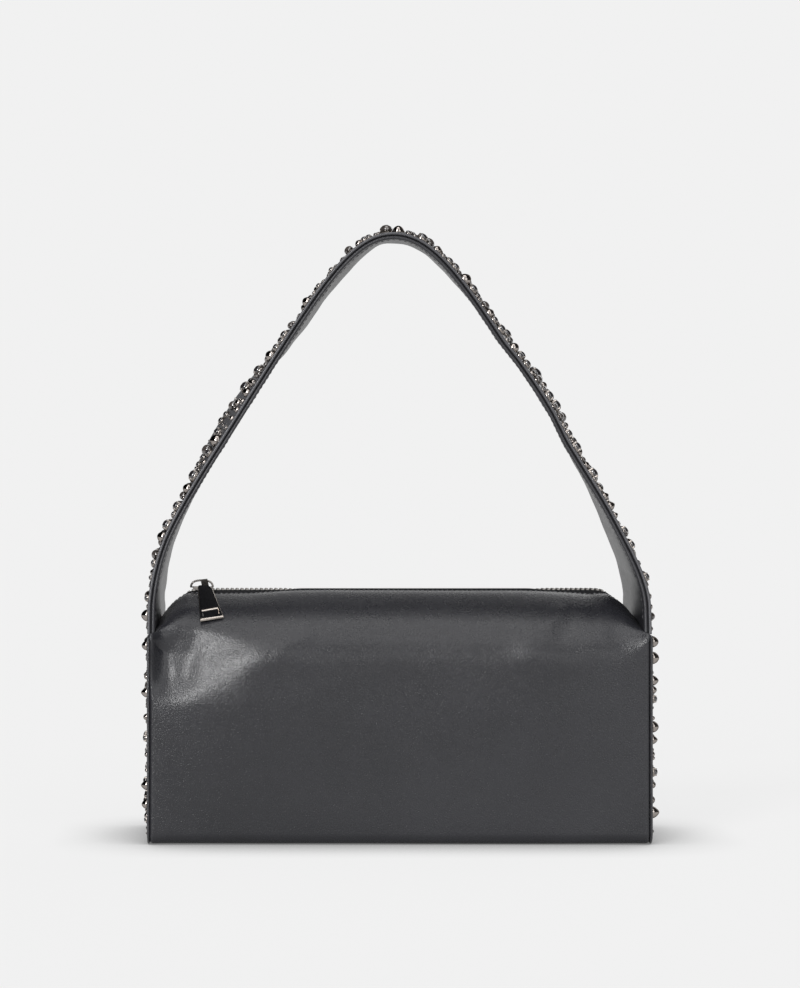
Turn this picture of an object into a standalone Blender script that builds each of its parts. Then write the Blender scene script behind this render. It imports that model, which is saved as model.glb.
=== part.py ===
"""Studded leather bag with a zip, a hanging puller and one wide strap.

Metres, +Z up, the front towards -Y. The origin is the middle of the base.
"""
import math

import bmesh
import bpy
from mathutils import Vector

# Clearances
seat_gap = 0.0003
running_gap = 0.0003

# Sheet thicknesses
leather = 0.0014
strap_leather = 0.0011
strap_core = 0.0008
stiffener = 0.0009
lining = 0.0006
tape = 0.0006
base_board = 0.0015
stud_strip = 0.0004

# Body, from its middle and its base
body_half_length = 0.1340
body_half_depth = 0.0450
corner_height = 0.1140
shoulder_height = 0.1115
corner_radius = 0.0050
shoulder_radius = 0.0240
bottom_radius = 0.0060
front_bulge = 0.0015
turn_under = 0.0120
stiffener_margin = 0.0040

# Zip: its ridge is level in the middle and falls at both ends, almost to the corners
ridge_height = 0.1350
ridge_end_rise = 0.0030
ridge_fall_length = 0.0195
ridge_fall_power = 1.25
mouth_half_width = 0.0055
lip_rise = 0.0007
tooth_pitch = 0.00268
tooth_thickness = 0.0022
tooth_tip = 0.0006
tooth_valley = 0.0018
tooth_root = 0.0030
tooth_tip_shares = (0.28, 0.72)
teeth_margin = 0.0075
stop_length = 0.0030

# Slider
slider_margin = 0.0264
slider_half_length = 0.0068
slider_half_width = 0.0036
slider_plate = 0.0006
slider_web_half = 0.0002
crown_half_length = 0.0063
crown_half_depth = 0.0006
crown_bar = 0.0010
crown_clear = 0.0028
crown_corner = 0.0018

# Puller, in its own plane
puller_length = 0.0380
puller_top_half = 0.0032
puller_end_half = 0.0061
puller_thickness = 0.0016
puller_lift = math.radians(2.0)
puller_lean = math.radians(8.0)
knuckle_bore = 0.0012
knuckle_wall = 0.0007
window_half_width = 0.0042
window_length = 0.0100
window_margin = 0.0030
window_depth = 0.0005

# Strap: half of its centre line, seen from the front, and its widths
strap_foot_rise = 0.0125
strap_root_handle = 0.0270
strap_leg_half = 0.0955
strap_leg_height = 0.2125
strap_leg_angle = math.radians(32.3)
strap_lower_handle = 0.0300
strap_upper_handle = 0.0950
strap_apex_handle = 0.0260
strap_apex_height = 0.3291
strap_foot_margin = 0.0045
strap_apex_width = 0.0350
strap_width_power = 1.4
strap_lean = -0.0023
lean_shares = (0.08, 0.27)
leg_flare = 0.0024
flare_shares = (0.24, 0.42, 0.73, 0.91)
apex_skew = 0.0035
skew_shares = (0.65, 0.87)
groove_depth = 0.0012
root_length = 0.0460

# Studs
stud_radius = 0.0029
strap_stud_height = 0.0040
side_stud_height = 0.0027
stud_margin = 0.0012
stud_columns = 5
strap_stud_rows = 78
root_stud_rows = 8
side_stud_rows = 10
side_stud_columns = 6
size_shares = (1.0, 0.62, 0.84, 0.70, 0.95, 0.56, 0.78)
shift_shares = (0.10, -0.08, 0.0, -0.12, 0.06)
table_share = 0.66
table_rise_share = 0.62
table_least_share = 0.96

# Divisions of the curved surfaces
flat_shares = (0, 0.35, 0.7, 1)
fall_shares = (0.35, 0.7, 1)
top_shares = (0, 0.35, 0.7)
front_shares = (0.25, 0.5, 0.75, 1)
shoulder_steps = 6
lining_shoulder_steps = 3
bottom_steps = 4
corner_steps = 3
knuckle_sides = 14
curve_steps = 60

# Places that follow from the sizes above
ridge_drop = ridge_height - ridge_end_rise - corner_height
ridge_flat_half = body_half_length - ridge_fall_length
teeth_half_length = body_half_length - teeth_margin
slider_start = slider_margin - body_half_length
strap_foot_width = 2 * (body_half_depth - strap_foot_margin)
top_tilt = math.atan2(ridge_height + lip_rise - shoulder_height, body_half_depth - mouth_half_width)
strap_face = strap_core / 2 + seat_gap + strap_leather
strap_root_x = body_half_length + seat_gap + leather - strap_face
top_half_length = strap_root_x - strap_face - seat_gap
side_top = corner_height - leather - seat_gap
strap_foot_z = side_top + seat_gap
stiffener_depth = leather + seat_gap
lining_depth = stiffener_depth + stiffener + seat_gap
lining_floor = leather + seat_gap + base_board + seat_gap
tape_inner = tooth_root + seat_gap
plate_low = tooth_thickness / 2 + running_gap
plate_high = plate_low + slider_plate
hinge_height = ridge_height + plate_high + crown_clear + crown_bar / 2


# Small helpers

def material(name, colour, roughness, metallic):
    """A Principled material."""
    made = bpy.data.materials.new(name)
    made.use_nodes = True
    shader = made.node_tree.nodes["Principled BSDF"]
    shader.inputs["Base Color"].default_value = (*colour, 1)
    shader.inputs["Roughness"].default_value = roughness
    shader.inputs["Metallic"].default_value = metallic
    made.diffuse_color = (*colour, 1)
    return made


def new_object(name, builder, finish, sharp_angle):
    """Turn a finished bmesh into a named object with its material."""
    bmesh.ops.recalc_face_normals(builder, faces=builder.faces[:])
    mesh = bpy.data.meshes.new(name)
    builder.to_mesh(mesh)
    builder.free()
    mesh.materials.append(finish)
    if sharp_angle:
        mesh.shade_smooth()
        mesh.set_sharp_from_angle(angle=sharp_angle)
    made = bpy.data.objects.new(name, mesh)
    bpy.context.scene.collection.objects.link(made)
    return made


def close_rim(builder, top, low):
    """Walls between the borders of two grids of vertices."""
    rows = len(top) - 1
    columns = len(top[0]) - 1
    for i in range(rows):
        for j in (0, columns):
            builder.faces.new((top[i][j], top[i + 1][j], low[i + 1][j], low[i][j]))
    for j in range(columns):
        for i in (0, rows):
            builder.faces.new((top[i][j], top[i][j + 1], low[i][j + 1], low[i][j]))


def slab(name, outer, inner, finish, sharp_angle=math.radians(40)):
    """Closed solid between two grids of points that have the same rows and columns."""
    builder = bmesh.new()
    top = [[builder.verts.new(point) for point in row] for row in outer]
    low = [[builder.verts.new(point) for point in row] for row in inner]
    for i in range(len(top) - 1):
        for j in range(len(top[0]) - 1):
            for face in (top, low):
                builder.faces.new((face[i][j], face[i][j + 1], face[i + 1][j + 1]))
                builder.faces.new((face[i][j], face[i + 1][j + 1], face[i + 1][j]))
    close_rim(builder, top, low)
    return new_object(name, builder, finish, sharp_angle)


def prism(name, outline, place, low, high, finish, sharp_angle=0):
    """Closed solid with an outline of (a, b) points that place(a, b, c) puts in space."""
    builder = bmesh.new()
    first = [builder.verts.new(place(a, b, low)) for a, b in outline]
    last = [builder.verts.new(place(a, b, high)) for a, b in outline]
    builder.faces.new(first)
    builder.faces.new(last)
    for i in range(len(outline)):
        j = (i + 1) % len(outline)
        builder.faces.new((first[i], first[j], last[j], last[i]))
    return new_object(name, builder, finish, sharp_angle)


def along_x(a, b, c):
    """Outline in the Y-Z plane, carried along X."""
    return (c, a, b)


def along_y(a, b, c):
    """Outline in the X-Z plane, carried along Y."""
    return (a, c, b)


def along_z(a, b, c):
    """Outline in the X-Y plane, carried along Z."""
    return (a, b, c)


def rectangle(low_a, low_b, high_a, high_b):
    """A rectangle's corners."""
    return [(low_a, low_b), (high_a, low_b), (high_a, high_b), (low_a, high_b)]


def arc(centre, radius, start, end, steps):
    """Points on an arc, with angles from the first axis."""
    points = []
    for i in range(steps + 1):
        angle = start + (end - start) * i / steps
        points.append((centre[0] + radius * math.cos(angle), centre[1] + radius * math.sin(angle)))
    return points


def ease(value, start, end):
    """Smooth step from 0 to 1."""
    t = min(max((value - start) / (end - start), 0), 1)
    return t * t * (3 - 2 * t)


def on_side(grid, side):
    """Points of a back wall, put on the front (-1) or left on the back (+1)."""
    return [[(x, side * y, z) for x, y, z in row] for row in grid]


# Body walls

def fall(x):
    """How far down its falling end the ridge is at x, from 0 to 1."""
    past = (abs(x) - ridge_flat_half) / (top_half_length - ridge_flat_half)
    return min(max(past, 0), 1) ** ridge_fall_power


def ridge_at(x):
    """Height of the middle of the teeth."""
    return ridge_height - ridge_drop * fall(x)


def stations():
    """Places along X where the walls are measured."""
    half = [ridge_flat_half * share for share in flat_shares]
    half += [ridge_flat_half + (top_half_length - ridge_flat_half) * share for share in fall_shares]
    return [-x for x in reversed(half[1:])] + half


def top_line(x, depth):
    """The top slope at x: its tilt, and its height as a function of the distance y."""
    shoulder = shoulder_height + (corner_height - shoulder_height) * fall(x)
    lip = ridge_at(x) + lip_rise
    tilt = math.atan2(lip - shoulder, body_half_depth - mouth_half_width)

    def height(y):
        return lip - (y - mouth_half_width) * math.tan(tilt) - depth / math.cos(tilt)

    return tilt, height


def bulge(x, z):
    """How far the front stands out in its middle."""
    up = min(max((z - bottom_radius) / (shoulder_height - bottom_radius), 0), 1)
    along = 1 - (x / body_half_length) ** 2
    return front_bulge * math.sin(math.pi * up) * along


def wall_section(x, depth, foot, steps):
    """Outline (y, z) of the wall at x, a depth under its outer face, from the zip down."""
    tilt, height = top_line(x, depth)
    face = body_half_depth - depth
    radius = shoulder_radius + (corner_radius - shoulder_radius) * fall(x) - depth
    middle = height(face) - radius * math.tan((math.pi / 2 - tilt) / 2)
    bend = arc((face - radius, middle), radius, math.pi / 2 - tilt, 0, steps)
    points = []
    for share in top_shares:
        y = mouth_half_width + (bend[0][0] - mouth_half_width) * share
        points.append((y, height(y)))
    points += bend
    points += [(face, middle + (foot - middle) * share) for share in front_shares]
    return [(y + bulge(x, z), z) for y, z in points]


def layer(depth, foot, steps, tail=(), first=0, wide_from=None):
    """Grid of one face of a wall. From point wide_from on it is as long as the body."""
    grid = []
    for x in stations():
        row = []
        section = wall_section(x, depth, foot, steps) + list(tail)
        for index, (y, z) in enumerate(section[first:]):
            wide = wide_from is not None and index >= wide_from
            half_length = body_half_length if wide else top_half_length
            row.append((x / top_half_length * half_length, y, z))
        grid.append(row)
    return grid


def make_main_panel(name, side, finish):
    """Front or back leather: top slope, shoulder, front and the turn under the base."""
    grids = []
    for depth in (0, leather):
        centre = (body_half_depth - bottom_radius, bottom_radius)
        tail = arc(centre, bottom_radius - depth, 0, -math.pi / 2, bottom_steps)[1:]
        tail.append((body_half_depth - turn_under, depth))
        wide_from = len(top_shares) + 2
        grids.append(layer(depth, bottom_radius, shoulder_steps, tail, 0, wide_from))
    slab(name, on_side(grids[0], side), on_side(grids[1], side), finish)


def make_wall_stiffener(name, side, finish):
    """Board that keeps the upright part of the front or back flat."""
    first = len(top_shares) + shoulder_steps
    foot = bottom_radius + seat_gap
    grids = []
    for depth in (stiffener_depth, stiffener_depth + stiffener):
        grid = layer(depth, foot, shoulder_steps, (), first)
        for row in grid:
            x, y, z = row[0]
            row[0] = (x, y, z - stiffener_margin)
        grids.append(grid)
    slab(name, on_side(grids[0], side), on_side(grids[1], side), finish)


def make_wall_lining(name, side, finish):
    """Lining of the front or back, from the edge of the zip tape to the base."""
    foot = lining_floor + lining + seat_gap
    grids = []
    for depth in (lining_depth, lining_depth + lining):
        grids.append(layer(depth, foot, lining_shoulder_steps, (), 1))
    slab(name, on_side(grids[0], side), on_side(grids[1], side), finish)


def side_outline(inset, low, high_radius):
    """Rounded outline (y, z) of a side wall's layer."""
    half = body_half_depth - inset
    low_radius = bottom_radius - inset
    quarter = math.pi / 2
    high_z = side_top - high_radius
    low_z = low + low_radius
    points = arc((half - high_radius, high_z), high_radius, 0, quarter, corner_steps)
    points += arc((high_radius - half, high_z), high_radius, quarter, math.pi, corner_steps)
    points += arc((low_radius - half, low_z), low_radius, math.pi, 3 * quarter, corner_steps)
    points += arc((half - low_radius, low_z), low_radius, 3 * quarter, 4 * quarter, corner_steps)
    return points


def make_side_layers(side, label, finishes):
    """Side leather, its stiffener and its lining, from the outside in."""
    outline = side_outline(0, 0, corner_radius - leather)
    face = body_half_length + seat_gap
    prism("side_panel_" + label, outline, along_x, side * face, side * (face + leather),
          finishes["leather"])
    outline = side_outline(stiffener_depth, stiffener_depth, corner_radius - stiffener_depth)
    face = body_half_length
    prism("side_stiffener_" + label, outline, along_x, side * face, side * (face - stiffener),
          finishes["stiffener"])
    face -= stiffener + seat_gap
    prism("lining_side_" + label, outline, along_x, side * face, side * (face - lining),
          finishes["lining"])


def make_base(finishes):
    """Base leather, its board and the lining's floor."""
    half = body_half_depth - turn_under - seat_gap
    outline = rectangle(-body_half_length, -half, body_half_length, half)
    prism("base_panel", outline, along_z, 0, leather, finishes["leather"])
    half = body_half_depth - bottom_radius
    low = leather + seat_gap
    outline = rectangle(-top_half_length, -half, top_half_length, half)
    prism("base_board", outline, along_z, low, low + base_board, finishes["board"])
    half = body_half_depth - lining_depth - lining - seat_gap
    outline = rectangle(-top_half_length, -half, top_half_length, half)
    prism("lining_base", outline, along_z, lining_floor, lining_floor + lining, finishes["lining"])


# Zip

def make_tape(name, side, finish):
    """Woven tape that carries one row of teeth, under the panel's top edge."""
    grids = []
    for depth in (stiffener_depth, stiffener_depth + tape):
        grid = []
        for x in stations():
            height = top_line(x, depth)[1]
            row = [(tape_inner, height(tape_inner))]
            row += wall_section(x, depth, bottom_radius, shoulder_steps)[:2]
            grid.append([(x, y, z) for y, z in row])
        grids.append(grid)
    slab(name, on_side(grids[0], side), on_side(grids[1], side), finish)


def make_teeth(name, side, finish):
    """One row of teeth on its bead, as a comb whose tips point at the other row."""
    builder = bmesh.new()
    count = round(2 * teeth_half_length / tooth_pitch)
    pitch = 2 * teeth_half_length / count

    def pair(x, y):
        middle = ridge_at(x)
        return [builder.verts.new((x, side * y, middle + lift))
                for lift in (tooth_thickness / 2, -tooth_thickness / 2)]

    edges = [-teeth_half_length + pitch * i for i in range(count + 1)]
    roots = [pair(x, tooth_root) for x in edges]
    valleys = [pair(x, tooth_valley) for x in edges]
    for i in range(count):
        tips = [pair(edges[i] + pitch * share, tooth_tip) for share in tooth_tip_shares]
        ring = (roots[i], roots[i + 1], valleys[i + 1], tips[1], tips[0], valleys[i])
        builder.faces.new([both[0] for both in ring])
        builder.faces.new([both[1] for both in reversed(ring)])
        chain = (valleys[i], tips[0], tips[1], valleys[i + 1])
        walls = list(zip(chain, chain[1:])) + [(roots[i], roots[i + 1])]
        for first, second in walls:
            builder.faces.new((first[0], second[0], second[1], first[1]))
    for i in (0, count):
        builder.faces.new((roots[i][0], valleys[i][0], valleys[i][1], roots[i][1]))
    new_object(name, builder, finish, 0)


def make_stop(name, side, finish):
    """Metal stop across both rows, past the last teeth."""
    near = teeth_half_length + seat_gap
    grids = []
    for lift in (tooth_thickness / 2, -tooth_thickness / 2):
        grids.append([[(side * x, y, ridge_at(x) + lift) for y in (-tooth_root, tooth_root)]
                      for x in (near, near + stop_length)])
    slab(name, grids[0], grids[1], finish, 0)


def crown_outline(half_length, top, corner):
    """Arch outline (x, z) from its left foot over the top to its right foot."""
    foot = ridge_height + plate_high - slider_plate / 2
    left = slider_start - half_length
    right = slider_start + half_length
    points = [(left, foot)]
    points += arc((left + corner, top - corner), corner, math.pi, math.pi / 2, corner_steps)
    points += arc((right - corner, top - corner), corner, math.pi / 2, 0, corner_steps)
    return points + [(right, foot)]


def make_slider(finish):
    """Slider: two plates round the teeth, joined by a thin web, and the crown on top."""
    ring = [(slider_half_width, -plate_high), (slider_half_width, -plate_low),
            (slider_web_half, -plate_low), (slider_web_half, plate_low),
            (slider_half_width, plate_low), (slider_half_width, plate_high)]
    outline = ring + [(-y, z) for y, z in reversed(ring)]
    outline = [(y, ridge_height + z) for y, z in outline]
    body = prism("zipper_slider", outline, along_x, slider_start - slider_half_length,
                 slider_start + slider_half_length, finish, math.radians(40))
    top = hinge_height + crown_bar / 2
    outer = crown_outline(crown_half_length, top, crown_corner)
    inner = crown_outline(crown_half_length - crown_bar, top - crown_bar, crown_corner - crown_bar)
    crown = prism("slider_crown_guide", outer + inner[::-1], along_y, -crown_half_depth,
                  crown_half_depth, finish, math.radians(40))
    crown.hide_render = True
    crown.display_type = "WIRE"
    union = body.modifiers.new("crown", "BOOLEAN")
    union.operation = "UNION"
    union.object = crown


def rest_angle(reach, height):
    """Tilt at which the puller's underside just clears a corner beside the zip."""
    drop = hinge_height - height
    clear = puller_thickness / 2 + seat_gap
    return math.atan2(drop, reach) - math.asin(clear / math.hypot(drop, reach))


def make_puller(finish):
    """Flat tapered puller with a knuckle round the crown's bar, hinged about X."""
    tilt = min(top_tilt - puller_lift, rest_angle(mouth_half_width, ridge_height + lip_rise),
               rest_angle(slider_half_width, ridge_height + plate_high))
    slope = math.tan(puller_lean)
    start = knuckle_bore + knuckle_wall / 2
    lean_start = start * slope
    lean_end = puller_length * slope
    outline = [(lean_start - puller_top_half, -start), (lean_start + puller_top_half, -start),
               (lean_end + puller_end_half, -puller_length),
               (lean_end - puller_end_half, -puller_length)]
    plate = prism("puller_tab", outline, along_z, -puller_thickness / 2, puller_thickness / 2,
                  finish, math.radians(40))
    whole = arc((0, 0), knuckle_bore + knuckle_wall, 0, 2 * math.pi, knuckle_sides)[:-1]
    knuckle = prism("puller_knuckle_guide", whole, along_x, -puller_top_half, puller_top_half,
                    finish, math.radians(40))
    hole = arc((0, 0), knuckle_bore, 0, 2 * math.pi, knuckle_sides)[:-1]
    bore = prism("puller_bore_cutter", hole, along_x, -puller_end_half, puller_end_half, finish)
    far = window_margin - puller_length
    middle = -far * slope
    outline = rectangle(middle - window_half_width, far, middle + window_half_width,
                        far + window_length)
    window = prism("puller_window_cutter", outline, along_z, puller_thickness / 2 - window_depth,
                   puller_thickness, finish)
    for tool, operation in ((knuckle, "UNION"), (bore, "DIFFERENCE"), (window, "DIFFERENCE")):
        tool.hide_render = True
        tool.display_type = "WIRE"
        step = plate.modifiers.new(tool.name, "BOOLEAN")
        step.operation = operation
        step.object = tool
    for piece in (plate, knuckle, bore, window):
        piece.rotation_euler = (tilt, 0, 0)
        piece.location = (slider_start, 0, hinge_height)


# Strap

def bezier(p0, p1, p2, p3):
    """Points along a cubic curve, without its first one."""
    made = []
    for i in range(1, curve_steps + 1):
        t = i / curve_steps
        u = 1 - t
        made.append(p0 * u ** 3 + 3 * p1 * t * u ** 2 + 3 * p2 * t ** 2 * u + p3 * t ** 3)
    return made


def strap_half_path():
    """Right half of the strap's centre line (x, z), from its foot to its top."""
    lean = Vector((-math.sin(strap_leg_angle), math.cos(strap_leg_angle)))
    foot = Vector((strap_root_x, strap_foot_z))
    rise = foot + Vector((0, strap_foot_rise))
    leg = Vector((strap_leg_half, strap_leg_height))
    apex = Vector((0, strap_apex_height))
    path = [foot, rise]
    path += bezier(rise, rise + Vector((0, strap_root_handle)), leg - lean * strap_lower_handle, leg)
    path += bezier(leg, leg + lean * strap_upper_handle, apex + Vector((strap_apex_handle, 0)), apex)
    return path


half_path = strap_half_path()
half_marks = [0]
for path_start, path_end in zip(half_path, half_path[1:]):
    half_marks.append(half_marks[-1] + (path_end - path_start).length)
strap_length = 2 * half_marks[-1]


def half_path_at(distance):
    """Point and direction on the right half, a distance along it from the foot."""
    i = 1
    while i < len(half_marks) - 1 and half_marks[i] < distance:
        i += 1
    t = (distance - half_marks[i - 1]) / (half_marks[i] - half_marks[i - 1])
    here = half_path[i - 1].lerp(half_path[i], t)
    return here, (half_path[i] - half_path[i - 1]).normalized()


def strap_point(distance, across, lift, inset):
    """Point of the band: distance from the left foot, across from front (-1) to back (+1)."""
    side = 1 if distance > strap_length / 2 else -1
    here, along = half_path_at(strap_length - distance if side > 0 else distance)
    share = (here.y - strap_foot_z) / (strap_apex_height - strap_foot_z)
    back = (across + 1) / 2
    out = lift + leg_flare * back * (ease(share, *flare_shares[:2]) - ease(share, *flare_shares[2:]))
    x = side * (here.x + along.y * out)
    x += strap_lean * ease(share, *lean_shares) + apex_skew * back * ease(share, *skew_shares)
    z = here.y - along.x * out
    widening = (strap_foot_width - strap_apex_width) * max(1 - share, 0) ** strap_width_power
    return (x, across * ((strap_apex_width + widening) / 2 - inset), z)


def strap_grid(start, end, rows, lift, columns=1, inset=0):
    """Grid of one face of a strap layer, with its columns from the back to the front."""
    grid = []
    for i in range(rows + 1):
        distance = start + (end - start) * i / rows
        grid.append([strap_point(distance, 1 - 2 * j / columns, lift, inset) for j in range(columns + 1)])
    return grid


def make_strap(finishes):
    """The strap above its roots: studded leather, core and inner leather."""
    start = root_length + seat_gap
    end = strap_length - start
    layers = (
        ("strap_outer", strap_core / 2 + seat_gap, strap_leather, 0, "leather"),
        ("strap_core", -strap_core / 2, strap_core, groove_depth, "core"),
        ("strap_inner", -strap_face, strap_leather, 0, "inner_leather"),
    )
    for name, low, thickness, inset, finish in layers:
        outer = strap_grid(start, end, strap_stud_rows, low + thickness, 1, inset)
        inner = strap_grid(start, end, strap_stud_rows, low, 1, inset)
        slab(name, outer, inner, finishes[finish])
    make_band_studs("strap_studs", start, end, strap_stud_rows, finishes["stud"])


def make_strap_roots(finishes):
    """The flexible ends of the strap, all layers together, and their studs."""
    spans = (("left", 0, root_length), ("right", strap_length - root_length, strap_length))
    for label, start, end in spans:
        outer = strap_grid(start, end, root_stud_rows, strap_face)
        inner = strap_grid(start, end, root_stud_rows, -strap_face)
        slab("strap_root_" + label, outer, inner, finishes["leather"])
        make_band_studs("root_studs_" + label, start, end, root_stud_rows, finishes["stud"])


# Studs

def stud(builder, corners, radius, height, shift, table):
    """A six-sided stud in a four-cornered cell of its strip; a table stud has a bevel."""
    c0, c1, c2, c3 = corners
    across = (c1.co - c0.co + c2.co - c3.co) / 2
    centre = (c0.co + c1.co + c2.co + c3.co) / 4 + across * shift
    normal = (c2.co - c0.co).cross(c3.co - c1.co).normalized()
    first = across.normalized()
    second = normal.cross(first)

    def ring(size, lift):
        made = []
        for i in range(6):
            angle = math.pi + math.pi / 3 * i
            spoke = first * math.cos(angle) + second * math.sin(angle)
            made.append(builder.verts.new(centre + spoke * size + normal * lift))
        return made

    foot = ring(radius, 0)
    skirt = ((c0, foot[0], foot[1]), (c0, foot[1], foot[2]), (c0, foot[2], c1), (c1, foot[2], foot[3]),
             (c1, foot[3], c2), (c2, foot[3], foot[4]), (c2, foot[4], foot[5]), (c2, foot[5], c3),
             (c3, foot[5], foot[0]), (c3, foot[0], c0))
    for face in skirt:
        builder.faces.new(face)
    if table:
        upper = ring(radius * table_share, height * table_rise_share)
        for i in range(6):
            j = (i + 1) % 6
            builder.faces.new((foot[i], foot[j], upper[j], upper[i]))
        foot = upper
    tip = builder.verts.new(centre + normal * height)
    for i in range(6):
        builder.faces.new((foot[i], foot[(i + 1) % 6], tip))


def studded_strip(name, outer, inner, height, finish):
    """Thin strip with one stud in each cell of its outer face."""
    builder = bmesh.new()
    top = [[builder.verts.new(point) for point in row] for row in outer]
    low = [[builder.verts.new(point) for point in row] for row in inner]
    for i in range(len(top) - 1):
        for j in range(len(top[0]) - 1):
            corners = (top[i][j], top[i][j + 1], top[i + 1][j + 1], top[i + 1][j])
            size = size_shares[(3 * i + 5 * j) % len(size_shares)]
            shift = shift_shares[(i + 2 * j) % len(shift_shares)]
            stud(builder, corners, stud_radius * size, height * size, shift, size > table_least_share)
            builder.faces.new((low[i][j], low[i + 1][j], low[i + 1][j + 1], low[i][j + 1]))
    close_rim(builder, top, low)
    new_object(name, builder, finish, math.radians(20))


def make_band_studs(name, start, end, rows, finish):
    """Studs of a stretch of the strap, on a strip that lies on its outer leather."""
    low = strap_face + seat_gap
    outer = strap_grid(start, end, rows, low + stud_strip, stud_columns, stud_margin)
    inner = strap_grid(start, end, rows, low, stud_columns, stud_margin)
    studded_strip(name, outer, inner, strap_stud_height, finish)


def make_side_studs(side, label, finish):
    """Studs of a side panel, lower and sparser than those of the strap."""
    face = body_half_length + seat_gap + leather + seat_gap
    half = body_half_depth - corner_radius
    high = side_top - stud_margin
    grids = []
    for x in (face + stud_strip, face):
        grid = []
        for i in range(side_stud_rows + 1):
            z = bottom_radius + (high - bottom_radius) * i / side_stud_rows
            row = []
            for j in range(side_stud_columns + 1):
                row.append((side * x, side * half * (2 * j / side_stud_columns - 1), z))
            grid.append(row)
        grids.append(grid)
    studded_strip("side_studs_" + label, grids[0], grids[1], side_stud_height, finish)


# Assembly

def make_finishes():
    """Every finish of the bag."""
    return {
        "leather": material("leather", (0.055, 0.055, 0.060), 0.45, 0.0),
        "inner_leather": material("inner_leather", (0.060, 0.060, 0.065), 0.40, 0.0),
        "core": material("core", (0.012, 0.012, 0.014), 0.80, 0.0),
        "stiffener": material("stiffener", (0.35, 0.33, 0.30), 0.85, 0.0),
        "board": material("board", (0.30, 0.26, 0.20), 0.80, 0.0),
        "lining": material("lining", (0.030, 0.030, 0.034), 0.90, 0.0),
        "tape": material("tape", (0.020, 0.020, 0.024), 0.90, 0.0),
        "stud": material("stud", (0.30, 0.28, 0.26), 0.15, 1.0),
        "zip_metal": material("zip_metal", (0.45, 0.43, 0.42), 0.25, 1.0),
        "gunmetal": material("gunmetal", (0.060, 0.058, 0.060), 0.12, 1.0),
    }


def build():
    """Make the whole bag."""
    finishes = make_finishes()
    for side, label in ((-1, "front"), (1, "back")):
        make_main_panel(label + "_panel", side, finishes["leather"])
        make_wall_stiffener(label + "_stiffener", side, finishes["stiffener"])
        make_wall_lining("lining_" + label, side, finishes["lining"])
        make_tape("zip_tape_" + label, side, finishes["tape"])
        make_teeth("zip_teeth_" + label, side, finishes["zip_metal"])
    make_base(finishes)
    for side, label in ((-1, "left"), (1, "right")):
        make_side_layers(side, label, finishes)
        make_side_studs(side, label, finishes["stud"])
        make_stop("zip_stop_" + label, side, finishes["zip_metal"])
    make_slider(finishes["gunmetal"])
    make_puller(finishes["gunmetal"])
    make_strap(finishes)
    make_strap_roots(finishes)


for old in list(bpy.data.objects):
    bpy.data.objects.remove(old)
build()
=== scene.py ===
"""Studded bag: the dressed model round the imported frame."""
import random
from math import atan2, copysign, cos, hypot, pi, radians, sin, tan

import bmesh
import bpy
import numpy as np
from mathutils import Matrix, Vector


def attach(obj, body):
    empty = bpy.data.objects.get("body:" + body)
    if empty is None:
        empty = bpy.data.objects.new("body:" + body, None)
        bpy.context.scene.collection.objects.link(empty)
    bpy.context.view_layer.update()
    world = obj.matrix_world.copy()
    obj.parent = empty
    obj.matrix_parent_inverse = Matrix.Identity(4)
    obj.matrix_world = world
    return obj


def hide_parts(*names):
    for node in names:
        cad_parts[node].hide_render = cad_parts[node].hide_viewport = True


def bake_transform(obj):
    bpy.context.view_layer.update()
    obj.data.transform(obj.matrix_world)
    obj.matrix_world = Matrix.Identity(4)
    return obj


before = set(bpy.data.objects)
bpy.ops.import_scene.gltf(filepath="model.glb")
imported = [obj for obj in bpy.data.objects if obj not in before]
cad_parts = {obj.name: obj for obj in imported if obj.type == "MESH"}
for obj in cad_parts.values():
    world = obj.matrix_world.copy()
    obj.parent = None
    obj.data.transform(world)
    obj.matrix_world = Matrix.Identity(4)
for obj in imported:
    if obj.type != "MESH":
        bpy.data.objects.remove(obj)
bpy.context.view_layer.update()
rng = random.Random(7)

# sizes of the frame, in metres
BODY_X = 0.1340
BODY_Y = 0.0450
CORNER_Z = 0.1140
SHOULDER_Z = 0.1115
CORNER_R = 0.0050
SHOULDER_R = 0.0240
BOTTOM_R = 0.0060
UNDER_REACH = 0.0060
RIDGE_Z = 0.1350
RIDGE_DROP = 0.0180
RIDGE_FLAT = 0.1145
RIDGE_POWER = 1.25
MOUTH_Y = 0.0055
LIP = 0.0007
TOP_X = 0.1318
SIDE_TOP = 0.1123
FOOT_Z = 0.1126
SLIDER_X = -0.1076
HINGE_Z = 0.1403
ROOT_X = 0.1339
STRAP_TOP = 0.3291
SIDE_FACE = BODY_X + 0.0003
# the viewer's place, and the names of both sides
EYE = (-0.058, -1.495, 0.188)
WALLS = ((-1, "front"), (1, "back"))
ENDS = ((-1, "left"), (1, "right"))


# materials
class Nodes:
    """A small helper round one node tree."""

    def __init__(self, owner):
        owner.use_nodes = True
        self.owner = owner
        self.tree = owner.node_tree

    def node(self, kind, inputs=None, **props):
        made = self.tree.nodes.new("ShaderNode" + kind)
        for key, value in props.items():
            setattr(made, key, value)
        for key, value in (inputs or {}).items():
            if isinstance(value, bpy.types.NodeSocket):
                self.tree.links.new(value, made.inputs[key])
            else:
                made.inputs[key].default_value = value
        return made

    def remap(self, value, low, high, to_low, to_high):
        return self.node("MapRange", {"Value": value, "From Min": low, "From Max": high,
                                      "To Min": to_low, "To Max": to_high}).outputs["Result"]

    def math(self, operation, a, b):
        return self.node("Math", {0: a, 1: b}, operation=operation).outputs[0]

    def seen_by(self, first, *others):
        """1 for rays of the named kinds, 0 for all others."""
        path = self.node("LightPath")
        seen = path.outputs[first]
        for kind in others:
            seen = self.math("MAXIMUM", seen, path.outputs[kind])
        return seen


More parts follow.
